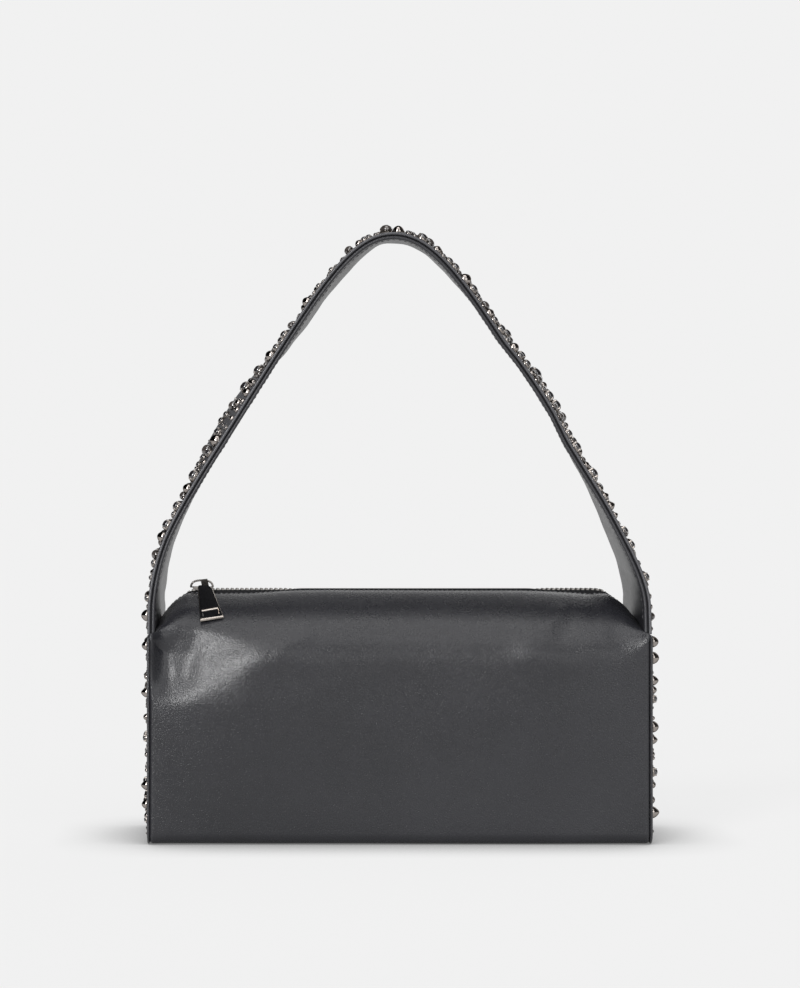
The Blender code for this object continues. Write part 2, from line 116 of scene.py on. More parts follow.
class Look(Nodes):
    """The nodes of one material round its principled shader."""

    def __init__(self, name, **values):
        super().__init__(bpy.data.materials.new(name))
        self.bsdf = self.tree.nodes["Principled BSDF"]
        self.coord = self.node("TexCoord").outputs["Object"]
        for key, value in values.items():
            self.bsdf.inputs[key.replace("_", " ")].default_value = value

    def noise(self, scale, detail, rough, vector=None, distortion=0.0):
        return self.node("TexNoise", {"Vector": vector or self.coord, "Scale": scale, "Detail": detail,
                                      "Roughness": rough, "Distortion": distortion}).outputs["Fac"]

    def stretched(self, scale):
        return self.node("Mapping", {"Vector": self.coord, "Scale": scale}).outputs["Vector"]

    def mix(self, factor, a, b):
        a, b = [c if isinstance(c, bpy.types.NodeSocket) else (*c, 1) for c in (a, b)]
        return self.node("Mix", {"Factor": factor, 6: a, 7: b}, data_type="RGBA").outputs[2]

    def fade(self, value, low, high, a, b, most=1):
        """Colour that goes from a to b as a value goes from low to high."""
        return self.mix(self.remap(value, low, high, 0, most), a, b)

    def link(self, value, socket):
        self.tree.links.new(value, self.bsdf.inputs[socket])

    def bump(self, height, distance, strength, below=None):
        inputs = {"Height": height, "Distance": distance, "Strength": strength}
        if below is not None:
            inputs["Normal"] = below
        return self.node("Bump", inputs).outputs["Normal"]


def shade(colour, share):
    return tuple(min(c * share, 1) for c in colour)


def leather(name, colour, rough, grain=1.0, worn=(0.085, 0.085, 0.09), shine=0.5):
    """Smooth dyed leather: fine pores, soft creasing, uneven gloss and lighter worn edges."""
    n = Look(name, Specular_IOR_Level=shine, IOR=1.48)
    cloud = n.noise(14, 5, 0.6)
    fine = n.noise(260, 3, 0.6)
    light = shade(colour, 1.16)
    base = n.fade(cloud, 0.3, 0.7, shade(colour, 0.86), light)
    base = n.fade(fine, 0.35, 0.75, base, light, 0.25)
    edge = n.node("NewGeometry").outputs["Pointiness"]
    edge = n.math("MULTIPLY", n.remap(edge, 0.52, 0.60, 0, 1), 0.35)
    edge = n.math("MULTIPLY", edge, n.remap(fine, 0.3, 0.7, 0.4, 1))
    n.link(n.mix(edge, base, worn), "Base Color")
    gloss = n.math("ADD", n.remap(cloud, 0.25, 0.75, -0.035, 0.035), n.remap(fine, 0.3, 0.7, -0.03, 0.03))
    n.link(n.math("ADD", gloss, rough), "Roughness")
    pores = n.noise(1250, 2, 0.6)
    wrinkle = n.noise(420, 3, 0.5, distortion=0.6)
    normal = n.bump(wrinkle, 0.00005 * grain, 0.7)
    n.link(n.bump(pores, 0.00022 * grain, 0.9, normal), "Normal")
    return n.owner


def plain_metal(name, colour, rough, scratch=0.00001, *, rim):
    """Polished or brushed metal with faint scratches and uneven gloss."""
    n = Look(name, Metallic=1.0, Specular_Tint=(rim, rim, rim, 1))
    cloud = n.noise(180, 4, 0.6)
    streak = n.noise(900, 2, 0.6, n.stretched((1, 6, 1)))
    n.link(n.fade(cloud, 0.3, 0.7, shade(colour, 0.88), shade(colour, 1.12)), "Base Color")
    n.link(n.math("ADD", n.remap(cloud, 0.25, 0.75, -0.03, 0.05), rough), "Roughness")
    n.link(n.bump(streak, scratch, 0.4), "Normal")
    return n.owner


def cloth(name, colour, scale, rough=0.9):
    """Plain weave: crossed wave textures."""
    n = Look(name, Roughness=rough, Specular_IOR_Level=0.25)
    waves = [n.node("TexWave", {"Vector": n.coord, "Scale": scale, "Distortion": 0.6, "Detail": 1.0},
                    bands_direction=axis).outputs["Fac"] for axis in "XYZ"]
    weave = n.math("MULTIPLY", n.math("ADD", waves[0], waves[1]), waves[2])
    fuzz = n.noise(1200, 3, 0.6)
    tone = n.fade(n.math("MULTIPLY", weave, fuzz), 0.0, 1.0, colour, shade(colour, 1.9))
    n.link(tone, "Base Color")
    n.link(n.bump(weave, 0.00012, 0.7), "Normal")
    return n.owner


def board(name, colour):
    """Pressed fibre board, flecked and matt."""
    n = Look(name, Roughness=0.88, Specular_IOR_Level=0.2)
    fleck = n.noise(700, 5, 0.7, n.stretched((1, 3, 1)))
    n.link(n.fade(fleck, 0.35, 0.65, shade(colour, 0.7), colour), "Base Color")
    n.link(n.bump(fleck, 0.0001, 0.5), "Normal")
    return n.owner


def crystal(name, colour, rough, ior, coat=0.6):
    """Dark cut glass: very glossy, with a faint smoky variation."""
    n = Look(name, IOR=ior, Specular_IOR_Level=0.6, Coat_Weight=coat, Coat_Roughness=0.02)
    cloud = n.noise(350, 2, 0.5)
    n.link(n.fade(cloud, 0.35, 0.7, colour, shade(colour, 2.2)), "Base Color")
    n.link(n.remap(cloud, 0.2, 0.8, rough, rough + 0.03), "Roughness")
    return n.owner


BLACK = (0.0142, 0.0144, 0.0172)
M = {
    "body": leather("body_leather_look", BLACK, 0.28),
    "strap": leather("strap_leather_look", (0.050, 0.050, 0.055), 0.34, 0.6),
    "inner": leather("strap_inner_look", (0.020, 0.020, 0.023), 0.38, 0.5, shine=0.35),
    "edge": leather("raw_edge_look", (0.006, 0.006, 0.007), 0.60, 0.7, (0.02, 0.02, 0.022), shine=0.12),
    "tape": cloth("zip_tape_look", (0.008, 0.008, 0.009), 620),
    "lining": cloth("lining_look", (0.020, 0.020, 0.023), 420),
    "stiffener": board("stiffener_look", (0.35, 0.33, 0.30)),
    "base_board": board("base_board_look", (0.30, 0.26, 0.20)),
    "teeth": plain_metal("teeth_look", (0.42, 0.40, 0.38), 0.14, rim=0.05),
    "slider": plain_metal("slider_look", (0.36, 0.335, 0.315), 0.16, rim=0.1),
    "enamel": crystal("puller_face_look", (0.002, 0.002, 0.0025), 0.05, 1.35, 0.0),
    "bevel": plain_metal("puller_edge_look", (0.46, 0.415, 0.375), 0.22, 0.000004, rim=0.5),
    "stud": plain_metal("stud_look", (0.33, 0.30, 0.28), 0.10, rim=0.04),
    "claw": plain_metal("claw_look", (0.27, 0.245, 0.225), 0.18, rim=0.08),
    "crystal": crystal("crystal_look", (0.010, 0.009, 0.010), 0.03, 1.75),
    "smoke": crystal("smoke_crystal_look", (0.030, 0.026, 0.024), 0.05, 1.7),
    "thread": cloth("thread_look", (0.085, 0.085, 0.09), 900, 0.5),
}


# mesh helpers
def add(name, data):
    """New object of the scene."""
    obj = bpy.data.objects.new(name, data)
    bpy.context.scene.collection.objects.link(obj)
    return obj


def as_object(name, mesh, mat, body, sharp):
    """Object of a mesh, smooth between its sharp edges, with its material and on its body."""
    mesh.shade_smooth()
    if sharp:
        mesh.set_sharp_from_angle(angle=radians(sharp))
    mesh.materials.append(M[mat])
    obj = add(name, mesh)
    if body:
        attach(obj, body)
    return obj


def from_bmesh(name, bm, mat, body, sharp=40):
    bmesh.ops.recalc_face_normals(bm, faces=bm.faces[:])
    mesh = bpy.data.meshes.new(name)
    bm.to_mesh(mesh)
    bm.free()
    return as_object(name, mesh, mat, body, sharp)


def from_arrays(name, points, faces, mat, body, sharp):
    mesh = bpy.data.meshes.new(name)
    mesh.from_pydata([tuple(map(float, p)) for p in points], [], [tuple(map(int, f)) for f in faces])
    mesh.validate()
    return as_object(name, mesh, mat, body, sharp)


def turn_outward(obj):
    """Turns all faces of a closed piece outward."""
    bm = bmesh.new()
    bm.from_mesh(obj.data)
    bmesh.ops.recalc_face_normals(bm, faces=bm.faces[:])
    bm.to_mesh(obj.data)
    bm.free()


def skin(bm, rings):
    """Faces between rings of corners, and one across each end; gives the bands of faces."""
    bands = []
    for a, b in zip(rings, rings[1:]):
        band = []
        for i in range(len(a)):
            j = (i + 1) % len(a)
            band.append(bm.faces.new((a[i], a[j], b[j], b[i])))
        bands.append(band)
    bm.faces.new(rings[0])
    bm.faces.new(rings[-1])
    return bands


def prism(bm, outline, low, high):
    """Block over an outline (x, y), from height low to high."""
    skin(bm, [[bm.verts.new((x, y, z)) for x, y in outline] for z in (low, high)])


def grid_normals(grid):
    di = np.gradient(grid, axis=0)
    dj = np.gradient(grid, axis=1)
    n = np.cross(di, dj)
    length = np.linalg.norm(n, axis=2, keepdims=True)
    return n / np.maximum(length, 1e-12)


def grid_faces(rows, columns, offset=0, flip=False, wrap=False):
    faces = []
    last = columns if wrap else columns - 1
    for i in range(rows - 1):
        for j in range(last):
            k = (j + 1) % columns
            a, b = offset + i * columns + j, offset + i * columns + k
            c, d = offset + (i + 1) * columns + k, offset + (i + 1) * columns + j
            faces.append((a, d, c, b) if flip else (a, b, c, d))
    return faces


def shell(name, outer, thickness, mat, flip):
    """Sheet of the bag between a grid of outer points and its inner face."""
    inner = outer - grid_normals(outer) * (-1 if flip else 1) * thickness
    rows, columns = outer.shape[:2]
    points = np.concatenate([outer.reshape(-1, 3), inner.reshape(-1, 3)])
    count = rows * columns
    faces = grid_faces(rows, columns, 0, flip) + grid_faces(rows, columns, count, not flip)
    rim = [(i, 0) for i in range(rows)] + [(rows - 1, j) for j in range(1, columns)]
    rim += [(i, columns - 1) for i in range(rows - 2, -1, -1)] + [(0, j) for j in range(columns - 2, 0, -1)]
    ids = [i * columns + j for i, j in rim]
    for a, b in zip(ids, ids[1:] + ids[:1]):
        faces.append((a, b, b + count, a + count) if flip else (a, a + count, b + count, b))
    obj = from_arrays(name, points, faces, mat, "bag", 50)
    turn_outward(obj)
    return obj


def unit(vector):
    return vector / np.linalg.norm(vector)


def circle(count, turn=0.0):
    """Angles of so many places round a circle, turned by a share of their spacing."""
    return [2 * pi * (i + turn) / count for i in range(count)]


def arc(cy, cz, radius, start, end, count):
    """Points from one angle to another, the last included."""
    angles = [start + (end - start) * i / count for i in range(count + 1)]
    return [(cy + radius * cos(a), cz + radius * sin(a)) for a in angles]


def ease(t):
    t = np.clip(t, 0, 1)
    return t * t * (3 - 2 * t)


def hump(value, centre, width):
    return np.exp(-((value - centre) / width) ** 2)


def valley(x, z, x0, z0, x1, z1, width):
    """Smooth groove along a line from (x0, z0) to (x1, z1), fading at both ends."""
    fade = 0.25
    dx, dz = x1 - x0, z1 - z0
    length = hypot(dx, dz)
    t = ((x - x0) * dx + (z - z0) * dz) / length ** 2
    off = ((x - x0) * dz - (z - z0) * dx) / length
    along = ease((t + fade) / (2 * fade)) * ease((1 + fade - t) / (2 * fade))
    return np.exp(-(off / width) ** 2) * along


# body leather
def fall(x):
    """How far the ridge has come down toward the corner, from 0 to 1."""
    past = np.clip((abs(x) - RIDGE_FLAT) / (TOP_X - RIDGE_FLAT), 0, 1)
    return past ** RIDGE_POWER


def ridge_at(x):
    """Height of the zip's line."""
    return RIDGE_Z - RIDGE_DROP * fall(x) - 0.0010 * hump(np.abs(x), 0.1160, 0.0045)


LIP_MARKS = ((-0.1318, 0.0), (-0.118, -0.0010), (-0.104, -0.0030), (-0.080, -0.0031), (-0.070, -0.0024),
             (-0.062, -0.0018), (-0.052, -0.0013), (-0.038, -0.0010), (0.0, -0.0009), (0.052, -0.0010),
             (0.068, -0.0011), (0.082, -0.0016), (0.094, -0.0022), (0.106, -0.0030), (0.118, -0.0012),
             (0.1318, 0.0))


def lip_drop(x, side=-1):
    """How much the lip of the mouth stands above or below its plain line; front and back differ a little."""
    marks = np.array(LIP_MARKS)
    value = float(np.interp(x if side < 0 else -x, marks[:, 0], marks[:, 1]))
    return value if side < 0 else value * 0.7


TOP_ROWS = np.concatenate([[0, 0.012, 0.025, 0.04, 0.055, 0.075, 0.10, 0.13, 0.165],
                           np.linspace(0.21, 0.9375, 13)])
TOP_COUNT = len(TOP_ROWS)


def section(x, side=-1):
    """Fine outline (y, z) of the wall at x, from the zip down and under."""
    f = float(fall(x))
    shoulder = SHOULDER_Z + (CORNER_Z - SHOULDER_Z) * f
    lip = float(ridge_at(x)) + LIP + lip_drop(x, side)
    tilt = atan2(lip - shoulder, BODY_Y - MOUTH_Y)
    radius = SHOULDER_R + (CORNER_R - SHOULDER_R) * f
    meet = lip - (BODY_Y - MOUTH_Y) * tan(tilt)
    middle = meet - radius * tan((pi / 2 - tilt) / 2)
    start = pi / 2 - tilt
    y_bend = BODY_Y - radius + radius * cos(start)
    points = [(y, lip - (y - MOUTH_Y) * tan(tilt)) for y in MOUTH_Y + (y_bend - MOUTH_Y) * TOP_ROWS]
    points += arc(BODY_Y - radius, middle, radius, start, 0, 18)[:-1]
    points += [(BODY_Y, middle + (BOTTOM_R - middle) * i / 48) for i in range(48)]
    points += arc(BODY_Y - BOTTOM_R, BOTTOM_R, BOTTOM_R, 0, -pi / 2, 10)[:-1]
    points += [(BODY_Y - BOTTOM_R - UNDER_REACH * i / 3, 0.0) for i in range(4)]
    return np.array(points)


def x_places(half, count):
    """Places along X, closer together near both ends."""
    t = np.linspace(-1, 1, count)
    return half * np.sign(t) * (1 - (1 - np.abs(t)) ** 1.35)


def soften(grid):
    """Rounds the start and end of the shoulder so that its gloss fades in and out."""
    kernel = np.exp(-(np.arange(-9, 10) / 3.0) ** 2)
    kernel /= kernel.sum()
    padded = np.pad(grid, ((0, 0), (9, 9), (0, 0)), mode="edge")
    smooth = sum(weight * padded[:, k:k + grid.shape[1]] for k, weight in enumerate(kernel))
    index = np.arange(grid.shape[1])
    share = ease((index - TOP_COUNT + 12) / 8) * ease((TOP_COUNT + 42 - index) / 14)
    share = share[None, :, None] * ease((TOP_X - np.abs(grid[:, :1, :1])) / 0.016)
    return grid + (smooth - grid) * share


def wall_normals(grid):
    """Normals of a wall's grid, turned outward."""
    normal = grid_normals(grid)
    return -normal if normal[90, 50, 1] < 0 else normal


def wall_grid(side):
    """Places along X, and the filled wall's points without and with relief; Y grows outward."""
    xs = x_places(1.0, 181)
    rows = []
    for share in xs:
        line = section(share * TOP_X, side)
        index = np.arange(len(line))
        wide = ease((line[:, 0] - 0.0400) / 0.0030) * (index > TOP_COUNT) + (index > TOP_COUNT + 18)
        half = TOP_X + (BODY_X - TOP_X) * np.clip(wide, 0, 1)
        rows.append(np.stack([share * half, line[:, 0], line[:, 1]], axis=1))
    grid = soften(np.array(rows))
    x, y, z = grid[..., 0], grid[..., 1], grid[..., 2]
    plain_back = BODY_Y - y
    # bulge of the filled bag, strongest at half height
    up = np.clip((z - BOTTOM_R) / (SHOULDER_Z - BOTTOM_R), 0, 1)
    grid = np.stack([x, y + 0.0015 * np.sin(np.pi * up) * (1 - (x / BODY_X) ** 2), z], axis=2)
    top_share = np.concatenate([TOP_ROWS, 1 + np.arange(grid.shape[1] - TOP_COUNT) / 16])[None, :]
    relief = body_relief(x if side < 0 else -x, z, plain_back, top_share, side)
    return xs, grid, grid + wall_normals(grid) * relief[..., None]


def body_wall(side, where):
    """One wall: leather, with board and lining that follow it from inside."""
    xs, plain, grid = wall_grid(side)
    # both ends roll into the side seams
    end = np.clip((np.abs(xs) - 0.985) / 0.015, 0, 1)[:, None, None]
    rolled = grid - wall_normals(plain) * 0.0012 * (1 - np.sqrt(np.clip(1 - end ** 2, 0, 1)))
    flat = np.array([1, side, 1])
    obj = shell("leather_" + where, rolled * flat, 0.0013, "body", side < 0)
    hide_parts(where + "_panel")
    normal = wall_normals(grid)
    board_grid = (grid - normal * 0.0017)[2:-2:2, 32:88:2] * flat
    obj = shell("stiffener_" + where, board_grid, 0.0008, "stiffener", side < 0)
    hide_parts(where + "_stiffener")
    cloth_grid = (grid - normal * 0.0028)[2:-2:2, 9:94:2] * flat
    obj = shell("lining_cloth_" + where, cloth_grid, 0.0006, "lining", side < 0)
    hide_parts("lining_" + where)
    return grid


def smax(a, b, soft):
    return (a + b + np.sqrt((a - b) ** 2 + soft ** 2)) / 2


def lean(off, grow, top, hold, fade, rest):
    """Depth of a slope that starts at off = 0, grows to top, holds, and fades to rest."""
    first, last = -0.010, 0.2
    marks = [first, 0.0, grow, grow + hold, grow + hold + fade, last]
    fine = np.linspace(first, last, 2101)
    slope = np.interp(fine, marks, [0, 0.02 * top, top, top, rest, rest])
    depth = np.concatenate([[0], np.cumsum((slope[1:] + slope[:-1]) / 2) * (fine[1] - fine[0])])
    return np.interp(off, fine, depth)


CREST = radians(33)
# grooves and welts, in millimetres: depth, both ends of the line (x, z), width
FOLDS = {
    -1: ((-0.4, -128.5, 113.0, -127.2, 95.0, 3.6), (-0.2, -127.5, 96.0, -121.0, 79.0, 4.5),
         (-0.6, -108.2, 120.0, -115.8, 85.0, 4.4), (0.2, -123.5, 108.0, -120.5, 86.0, 3.0),
         (0.9, -106.0, 124.0, -129.0, 114.5, 4.0), (0.5, 89.4, 122.4, 78.2, 114.4, 2.4),
         (-0.3, 96.0, 120.0, 84.0, 108.0, 3.4), (-0.3, -60.0, 96.0, -50.0, 84.0, 5.0),
         (-0.6, -86.0, 112.0, -99.0, 80.0, 10.0), (0.5, -48.0, 112.0, -66.0, 102.0, 4.0)),
    1: ((-0.4, -110.0, 118.0, -124.0, 82.0, 4.0), (-0.4, 104.0, 118.0, 121.0, 86.0, 4.5)),
}
# soft pads and dimples, in millimetres: height, place and width along x, place and width along z
PADS = {
    -1: ((3.2, -74, 48, 82, 44), (1.0, 80, 40, 80, 40), (0.9, 72, 11, 107, 10), (0.8, 106, 10, 109, 9),
         (-0.7, -106.5, 7, 124, 6), (0.6, -72, 16, 100, 8), (0.6, 88, 22, 99, 9)),
    1: ((1.4, -70, 50, 78, 46), (1.6, 75, 50, 76, 44)),
}


def beyond(x, z, x0, z0, side):
    """Distance past a crest that slants down toward the left (-1) or right (+1) corner."""
    return side * (x - x0) * sin(CREST) + (z - z0) * cos(CREST)


def front_lean(x, z):
    """How far the front's two upper corners lean back: strongly at the left, weakly at the right."""
    run = (x + 0.0860) * cos(CREST) + (z - 0.0850) * sin(CREST)
    left = lean(beyond(x, z, -0.0860, 0.0850, -1), 0.011, 0.19, 0.009, 0.015, 0.0)
    left = left * ease((-0.040 - x) / 0.040) * ease((run + 0.052) / 0.034)
    turn = lean(-0.077 - x + 0.50 * (z - 0.1000), 0.022, 0.115, 0.014, 0.030, 0.05)
    turn = turn * ease((z - 0.074) / 0.018)
    right = lean(beyond(x, z, 0.0820, 0.0925, 1), 0.014, 0.075, 0.002, 0.012, 0.0)
    return left + turn, right * ease((x - 0.020) / 0.040) * ease((0.134 - x) / 0.060)


def back_lean(x, z):
    """How far the back's two upper corners lean in, as one depth."""
    left = lean(beyond(x, z, -0.0960, 0.0850, -1), 0.012, 0.13, 0.010, 0.014, 0.04)
    right = lean(beyond(x, z, 0.0920, 0.0880, 1), 0.012, 0.14, 0.010, 0.014, 0.04)
    return (left * ease((-0.050 - x) / 0.035) + right * ease((x - 0.045) / 0.035),)


def body_relief(x, z, back, top_share, side):
    """How far the leather stands out from its plain form, in metres; x grows to the viewer's right."""
    r = np.zeros_like(x)
    for deep in (front_lean if side < 0 else back_lean)(x, z):
        r -= smax(deep, back, 0.0010) - smax(0, back, 0.0010)
    for depth, *line in FOLDS[side]:
        r += depth / 1000 * valley(x * 1000, z * 1000, *line)
    for height, at_x, wide, at_z, high in PADS[side]:
        r += height / 1000 * hump(x * 1000, at_x, wide) * hump(z * 1000, at_z, high)
    # slow unevenness of soft leather
    for kx, kz, phase, depth in ((23, 31, 0.4, 0.00016), (47, 19, 1.9, 0.00010), (71, 83, 4.1, 0.00004)):
        r += depth * np.sin(kx * x + phase + 3 * np.sin(kz * z)) * np.cos(kz * z + phase * side)
    # the leather arches over from the mouth before it slopes away
    near = np.clip(top_share / 0.6, 0, 1)
    far = ease((1.5 - top_share) / 0.9)
    arch = 0.0011 * np.where(top_share < 0.6, near * (2 - near), far)
    arch = arch + 0.0021 * (1 - np.exp(-top_share / 0.115)) * far
    if side > 0:
        # flatter where the swung-over puller comes to lie
        arch = arch * (1 - 0.85 * ease(top_share / 0.16)) - 0.0004 * ease((top_share - 0.06) / 0.40) * far
    r += arch
    # the relief fades out toward both seams, with a rounder edge below the front's left corner
    left = ease((-0.060 - x) / 0.040) * (side < 0)
    low = ease((0.113 - z) / 0.009) * left
    width = 0.016 - 0.002 * left - 0.004 * ease((x - 0.060) / 0.040)
    edge = np.clip((BODY_X - np.abs(x)) / 0.011, 0, 1)
    return r * (ease((BODY_X - np.abs(x)) / width) * (1 - low) + edge * (2 - edge) * low)


front_grid, back_grid = [body_wall(side, where) for side, where in WALLS]


def rounded_rect(half_y, low, high, r_low, r_high):
    """Outline (y, z) with corners of one radius below and another above."""
    top, bottom = high - r_high, low + r_low
    pts = []
    for quarter, (cy, cz, r) in enumerate(((half_y - r_high, top, r_high), (r_high - half_y, top, r_high),
                                           (r_low - half_y, bottom, r_low), (half_y - r_low, bottom, r_low))):
        pts += arc(cy, cz, r, quarter * pi / 2, (quarter + 1) * pi / 2, 8)
    return pts


def side_panel(side, label):
    """Side leather: a flat panel whose edges turn into the seams."""
    bm = bmesh.new()
    rings = []
    middle = 0.056
    for out, inset in ((0.0, 0.0004), (0.0005, 0.0), (0.0010, 0.0001), (0.0013, 0.0005), (0.0014, 0.0013),
                       (0.00135, 0.0030)):
        ring = []
        for y, z in rounded_rect(BODY_Y, 0.0, SIDE_TOP, BOTTOM_R, 0.0036):
            z = middle + (z - middle) * (1 - inset / middle)
            ring.append(bm.verts.new((side * (SIDE_FACE + out), y * (1 - inset / BODY_Y), z)))
        rings.append(ring)
    skin(bm, rings)
    obj = from_bmesh("leather_side_" + label, bm, "body", "bag")
    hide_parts("side_panel_" + label)


for end in ENDS:
    side_panel(*end)


# strap
def strap_half():
    """Centre line (x, z) of the strap's right half, from its foot up to the top."""
    slant = Vector((-sin(radians(32.3)), cos(radians(32.3))))
    foot, rise = Vector((ROOT_X, FOOT_Z)), Vector((ROOT_X, FOOT_Z + 0.0125))
    leg, apex = Vector((0.0955, 0.2125)), Vector((0, STRAP_TOP))
    pts = [foot + (rise - foot) * i / 12 for i in range(13)]
    for p0, p1, p2, p3 in ((rise, rise + Vector((0, 0.027)), leg - slant * 0.030, leg),
                           (leg, leg + slant * 0.095, apex + Vector((0.026, 0)), apex)):
        for i in range(1, 101):
            t = i / 100
            u = 1 - t
            pts.append(p0 * u ** 3 + 3 * p1 * t * u * u + 3 * p2 * t * t * u + p3 * t ** 3)
    return np.array([tuple(p) for p in pts])


HALF = strap_half()
MARKS = np.concatenate([[0], np.cumsum(np.linalg.norm(np.diff(HALF, axis=0), axis=1))])
LENGTH = 2 * MARKS[-1]
TANGENT = np.gradient(HALF, MARKS, axis=0)
TANGENT /= np.linalg.norm(TANGENT, axis=1, keepdims=True)


# the worn band twists: how far its rims stand off the plain line at a distance, in millimetres
FRONT_TURN = ((0, 0), (350, 0.4), (363, 1.8), (376, 2.4), (387, 2.6), (398, 2.2), (415, 0.3), (430, 0),
              (528, 0))
REAR_TURN = ((0, 0), (4, -0.6), (9, -2.2), (13, -2.4), (18, -1.1), (27, -0.2), (40, 0.5), (64, 0.5),
             (80, 1.0), (95, 3.0), (110, 4.6), (125, 5.2), (140, 4.6), (152, 3.2), (163, 1.0), (173, -1.0),
             (192, -1.6), (201, 0), (211, 1.0), (232, 0.6), (245, 1.3), (255, 2.6), (262, 1.2), (271, 0.8),
             (290, -0.4), (320, 0.8), (335, 1.8), (351, 3.8), (366, 5.8), (387, 6.6), (400, 6.0),
             (415, 4.2), (428, 2.8), (439, 2.3), (464, 1.8), (485, 1.0), (504, -1.0), (512, -2.2),
             (520, -1.8), (528, 0))
TURN_AT = np.arange(0, 528.5, 0.5)


def smooth_turn(marks):
    marks = np.array(marks, dtype=float)
    values = np.interp(TURN_AT, marks[:, 0], marks[:, 1])
    for _ in range(2):
        values = np.convolve(np.pad(values, 5, mode="edge"), np.ones(11) / 11, mode="valid")
    return values / 1000


FRONT_LINE = smooth_turn(FRONT_TURN)
REAR_LINE = smooth_turn(REAR_TURN)


def strap_frame(s, v):
    """Middle point, outward normal, along and half width at distance s and across share v."""
    right = s > LENGTH / 2
    d = LENGTH - s if right else s
    side = 1 if right else -1
    x, z, tx, tz = [np.interp(d, MARKS, line) for line in (*HALF.T, *TANGENT.T)]
    k = (z - FOOT_Z) / (STRAP_TOP - FOOT_Z)
    back = (v + 1) / 2
    flare = 0.0024 * back * (step(k, 0.24, 0.42) - step(k, 0.73, 0.91))
    px = side * (x + tz * flare) - 0.0023 * step(k, 0.08, 0.27) + 0.0035 * back * step(k, 0.65, 0.87)
    pz = z - tx * flare
    front_turn = np.interp(s * 1000, TURN_AT, FRONT_LINE)
    turn = front_turn * (1 - back) + np.interp(s * 1000, TURN_AT, REAR_LINE) * back
    px += side * tz * turn
    pz -= tx * turn
    half = (0.035 + 0.046 * max(1 - k, 0) ** 1.4) / 2
    return (px, pz), (side * tz, -tx), half


def step(value, start, end):
    t = min(max((value - start) / (end - start), 0), 1)
    return t * t * (3 - 2 * t)


def strap_point(s, y_share, lift, edge=0.0):
    """Point of the band; edge moves it past the rim, in metres."""
    (px, pz), (nx, nz), half = strap_frame(s, y_share)
    return (px + nx * lift, y_share * half + edge, pz + nz * lift)


def strap_layer(name, low, high, mat, nodes, inset, puff=None, across=14, rows=260):
    """One layer of the strap as a closed loop of sections with rounded rims."""
    mid, half_t = (low + high) / 2, (high - low) / 2
    turns = [radians(a) for a in (60, 30, 0, -30, -60)]
    rim = [(mid + half_t * sin(a), half_t * cos(a)) for a in turns]
    ring = [(-1 + 2 * j / across, high, 0.0) for j in range(across + 1)]
    ring += [(1.0, lift, out) for lift, out in rim]
    ring += [(1 - 2 * j / across, low, 0.0) for j in range(across + 1)]
    ring += [(-1.0, lift, -out) for lift, out in reversed(rim)]
    grid = []
    for i in range(rows + 1):
        s = LENGTH * i / rows
        line = []
        for v, lift, edge in ring:
            shrink = 1 - (inset + half_t) / strap_frame(s, v)[2]
            extra = puff(s, v) if puff and lift < mid else 0.0
            line.append(strap_point(s, v * shrink, lift - extra, edge))
        grid.append(line)
    count = len(ring)
    faces = grid_faces(rows + 1, count, wrap=True)
    faces += [tuple(range(count - 1, -1, -1)), tuple(range(rows * count, (rows + 1) * count))]
    obj = from_arrays(name, np.array(grid).reshape(-1, 3), faces, mat, None, 50)
    turn_outward(obj)
    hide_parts(*nodes)
    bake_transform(obj)


def inner_puff(s, v):
    """Padding and soft waves of the inner face."""
    d = min(s, LENGTH - s)
    root = step(d, 0.010, 0.028) * (1 - step(d, 0.034, 0.070))
    wave = 0.00018 * sin(s * 190 + 1.3 * sin(s * 61) + 2 * v)
    wave += 0.00010 * sin(s * 430 + 3 * v)
    rim = 1 - abs(v) ** 6
    return (0.0016 * root * (0.4 + 0.6 * (v + 1) / 2) + 0.0004) * rim + wave * rim


strap_layer("strap_leather_outer", 0.0002, 0.0018, "strap",
            ["strap_outer", "strap_root_left", "strap_root_right"], 0.0)
strap_layer("strap_leather_inner", -0.0023, -0.0004, "inner", ["strap_inner"], 0.0,
            inner_puff)
strap_layer("strap_core_edge", -0.00045, 0.00025, "edge", ["strap_core"], 0.0009,
            across=6, rows=200)


# studs
class Heap:
    """Collects many small copies of template meshes in one piece."""

    def __init__(self):
        self.points = []
        self.faces = []
        self.count = 0

    def add(self, template, origin, u, v, n, scale):
        points, faces = template
        basis = np.stack([u, v, n], axis=0)
        self.points.append(np.asarray(origin) + (points * scale) @ basis)
        self.faces.extend([tuple(i + self.count for i in f) for f in faces])
        self.count += len(points)

    def make(self, name, mat, slot, body, nodes=(), sharp=35):
        obj = from_arrays(name, np.concatenate(self.points), self.faces, mat, body, sharp)
        if nodes:
            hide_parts(*nodes)
        return obj


def turned(profile, sides, turn=0.0, half=0.0):
    """Rings of points from (radius, height) pairs; half shifts every second ring by that share of a side."""
    points = []
    for k, (r, h) in enumerate(profile):
        points += [(r * cos(a), r * sin(a), h) for a in circle(sides, half * (k % 2) + turn)]
    return np.array(points)


def caps(rings, sides):
    top = (rings - 1) * sides
    return [tuple(range(top, top + sides)), tuple(reversed(range(sides)))]


def lathe(profile, sides):
    """Round solid from (radius, height) pairs."""
    faces = grid_faces(len(profile), sides, wrap=True) + caps(len(profile), sides)
    return turned(profile, sides), faces


def faceted(sides, profile, turn):
    """Cut stone: each ring is turned half a facet from the one below it."""
    faces = []
    for k in range(len(profile) - 1):
        a, b = k * sides, (k + 1) * sides
        for i in range(sides):
            j = (i + 1) % sides
            if k % 2 == 0:
                faces += [(a + i, a + j, b + i), (b + i, a + j, b + j)]
            else:
                faces += [(a + i, b + j, b + i), (a + i, a + j, b + j)]
    return turned(profile, sides, turn, 0.5), faces + caps(len(profile), sides)


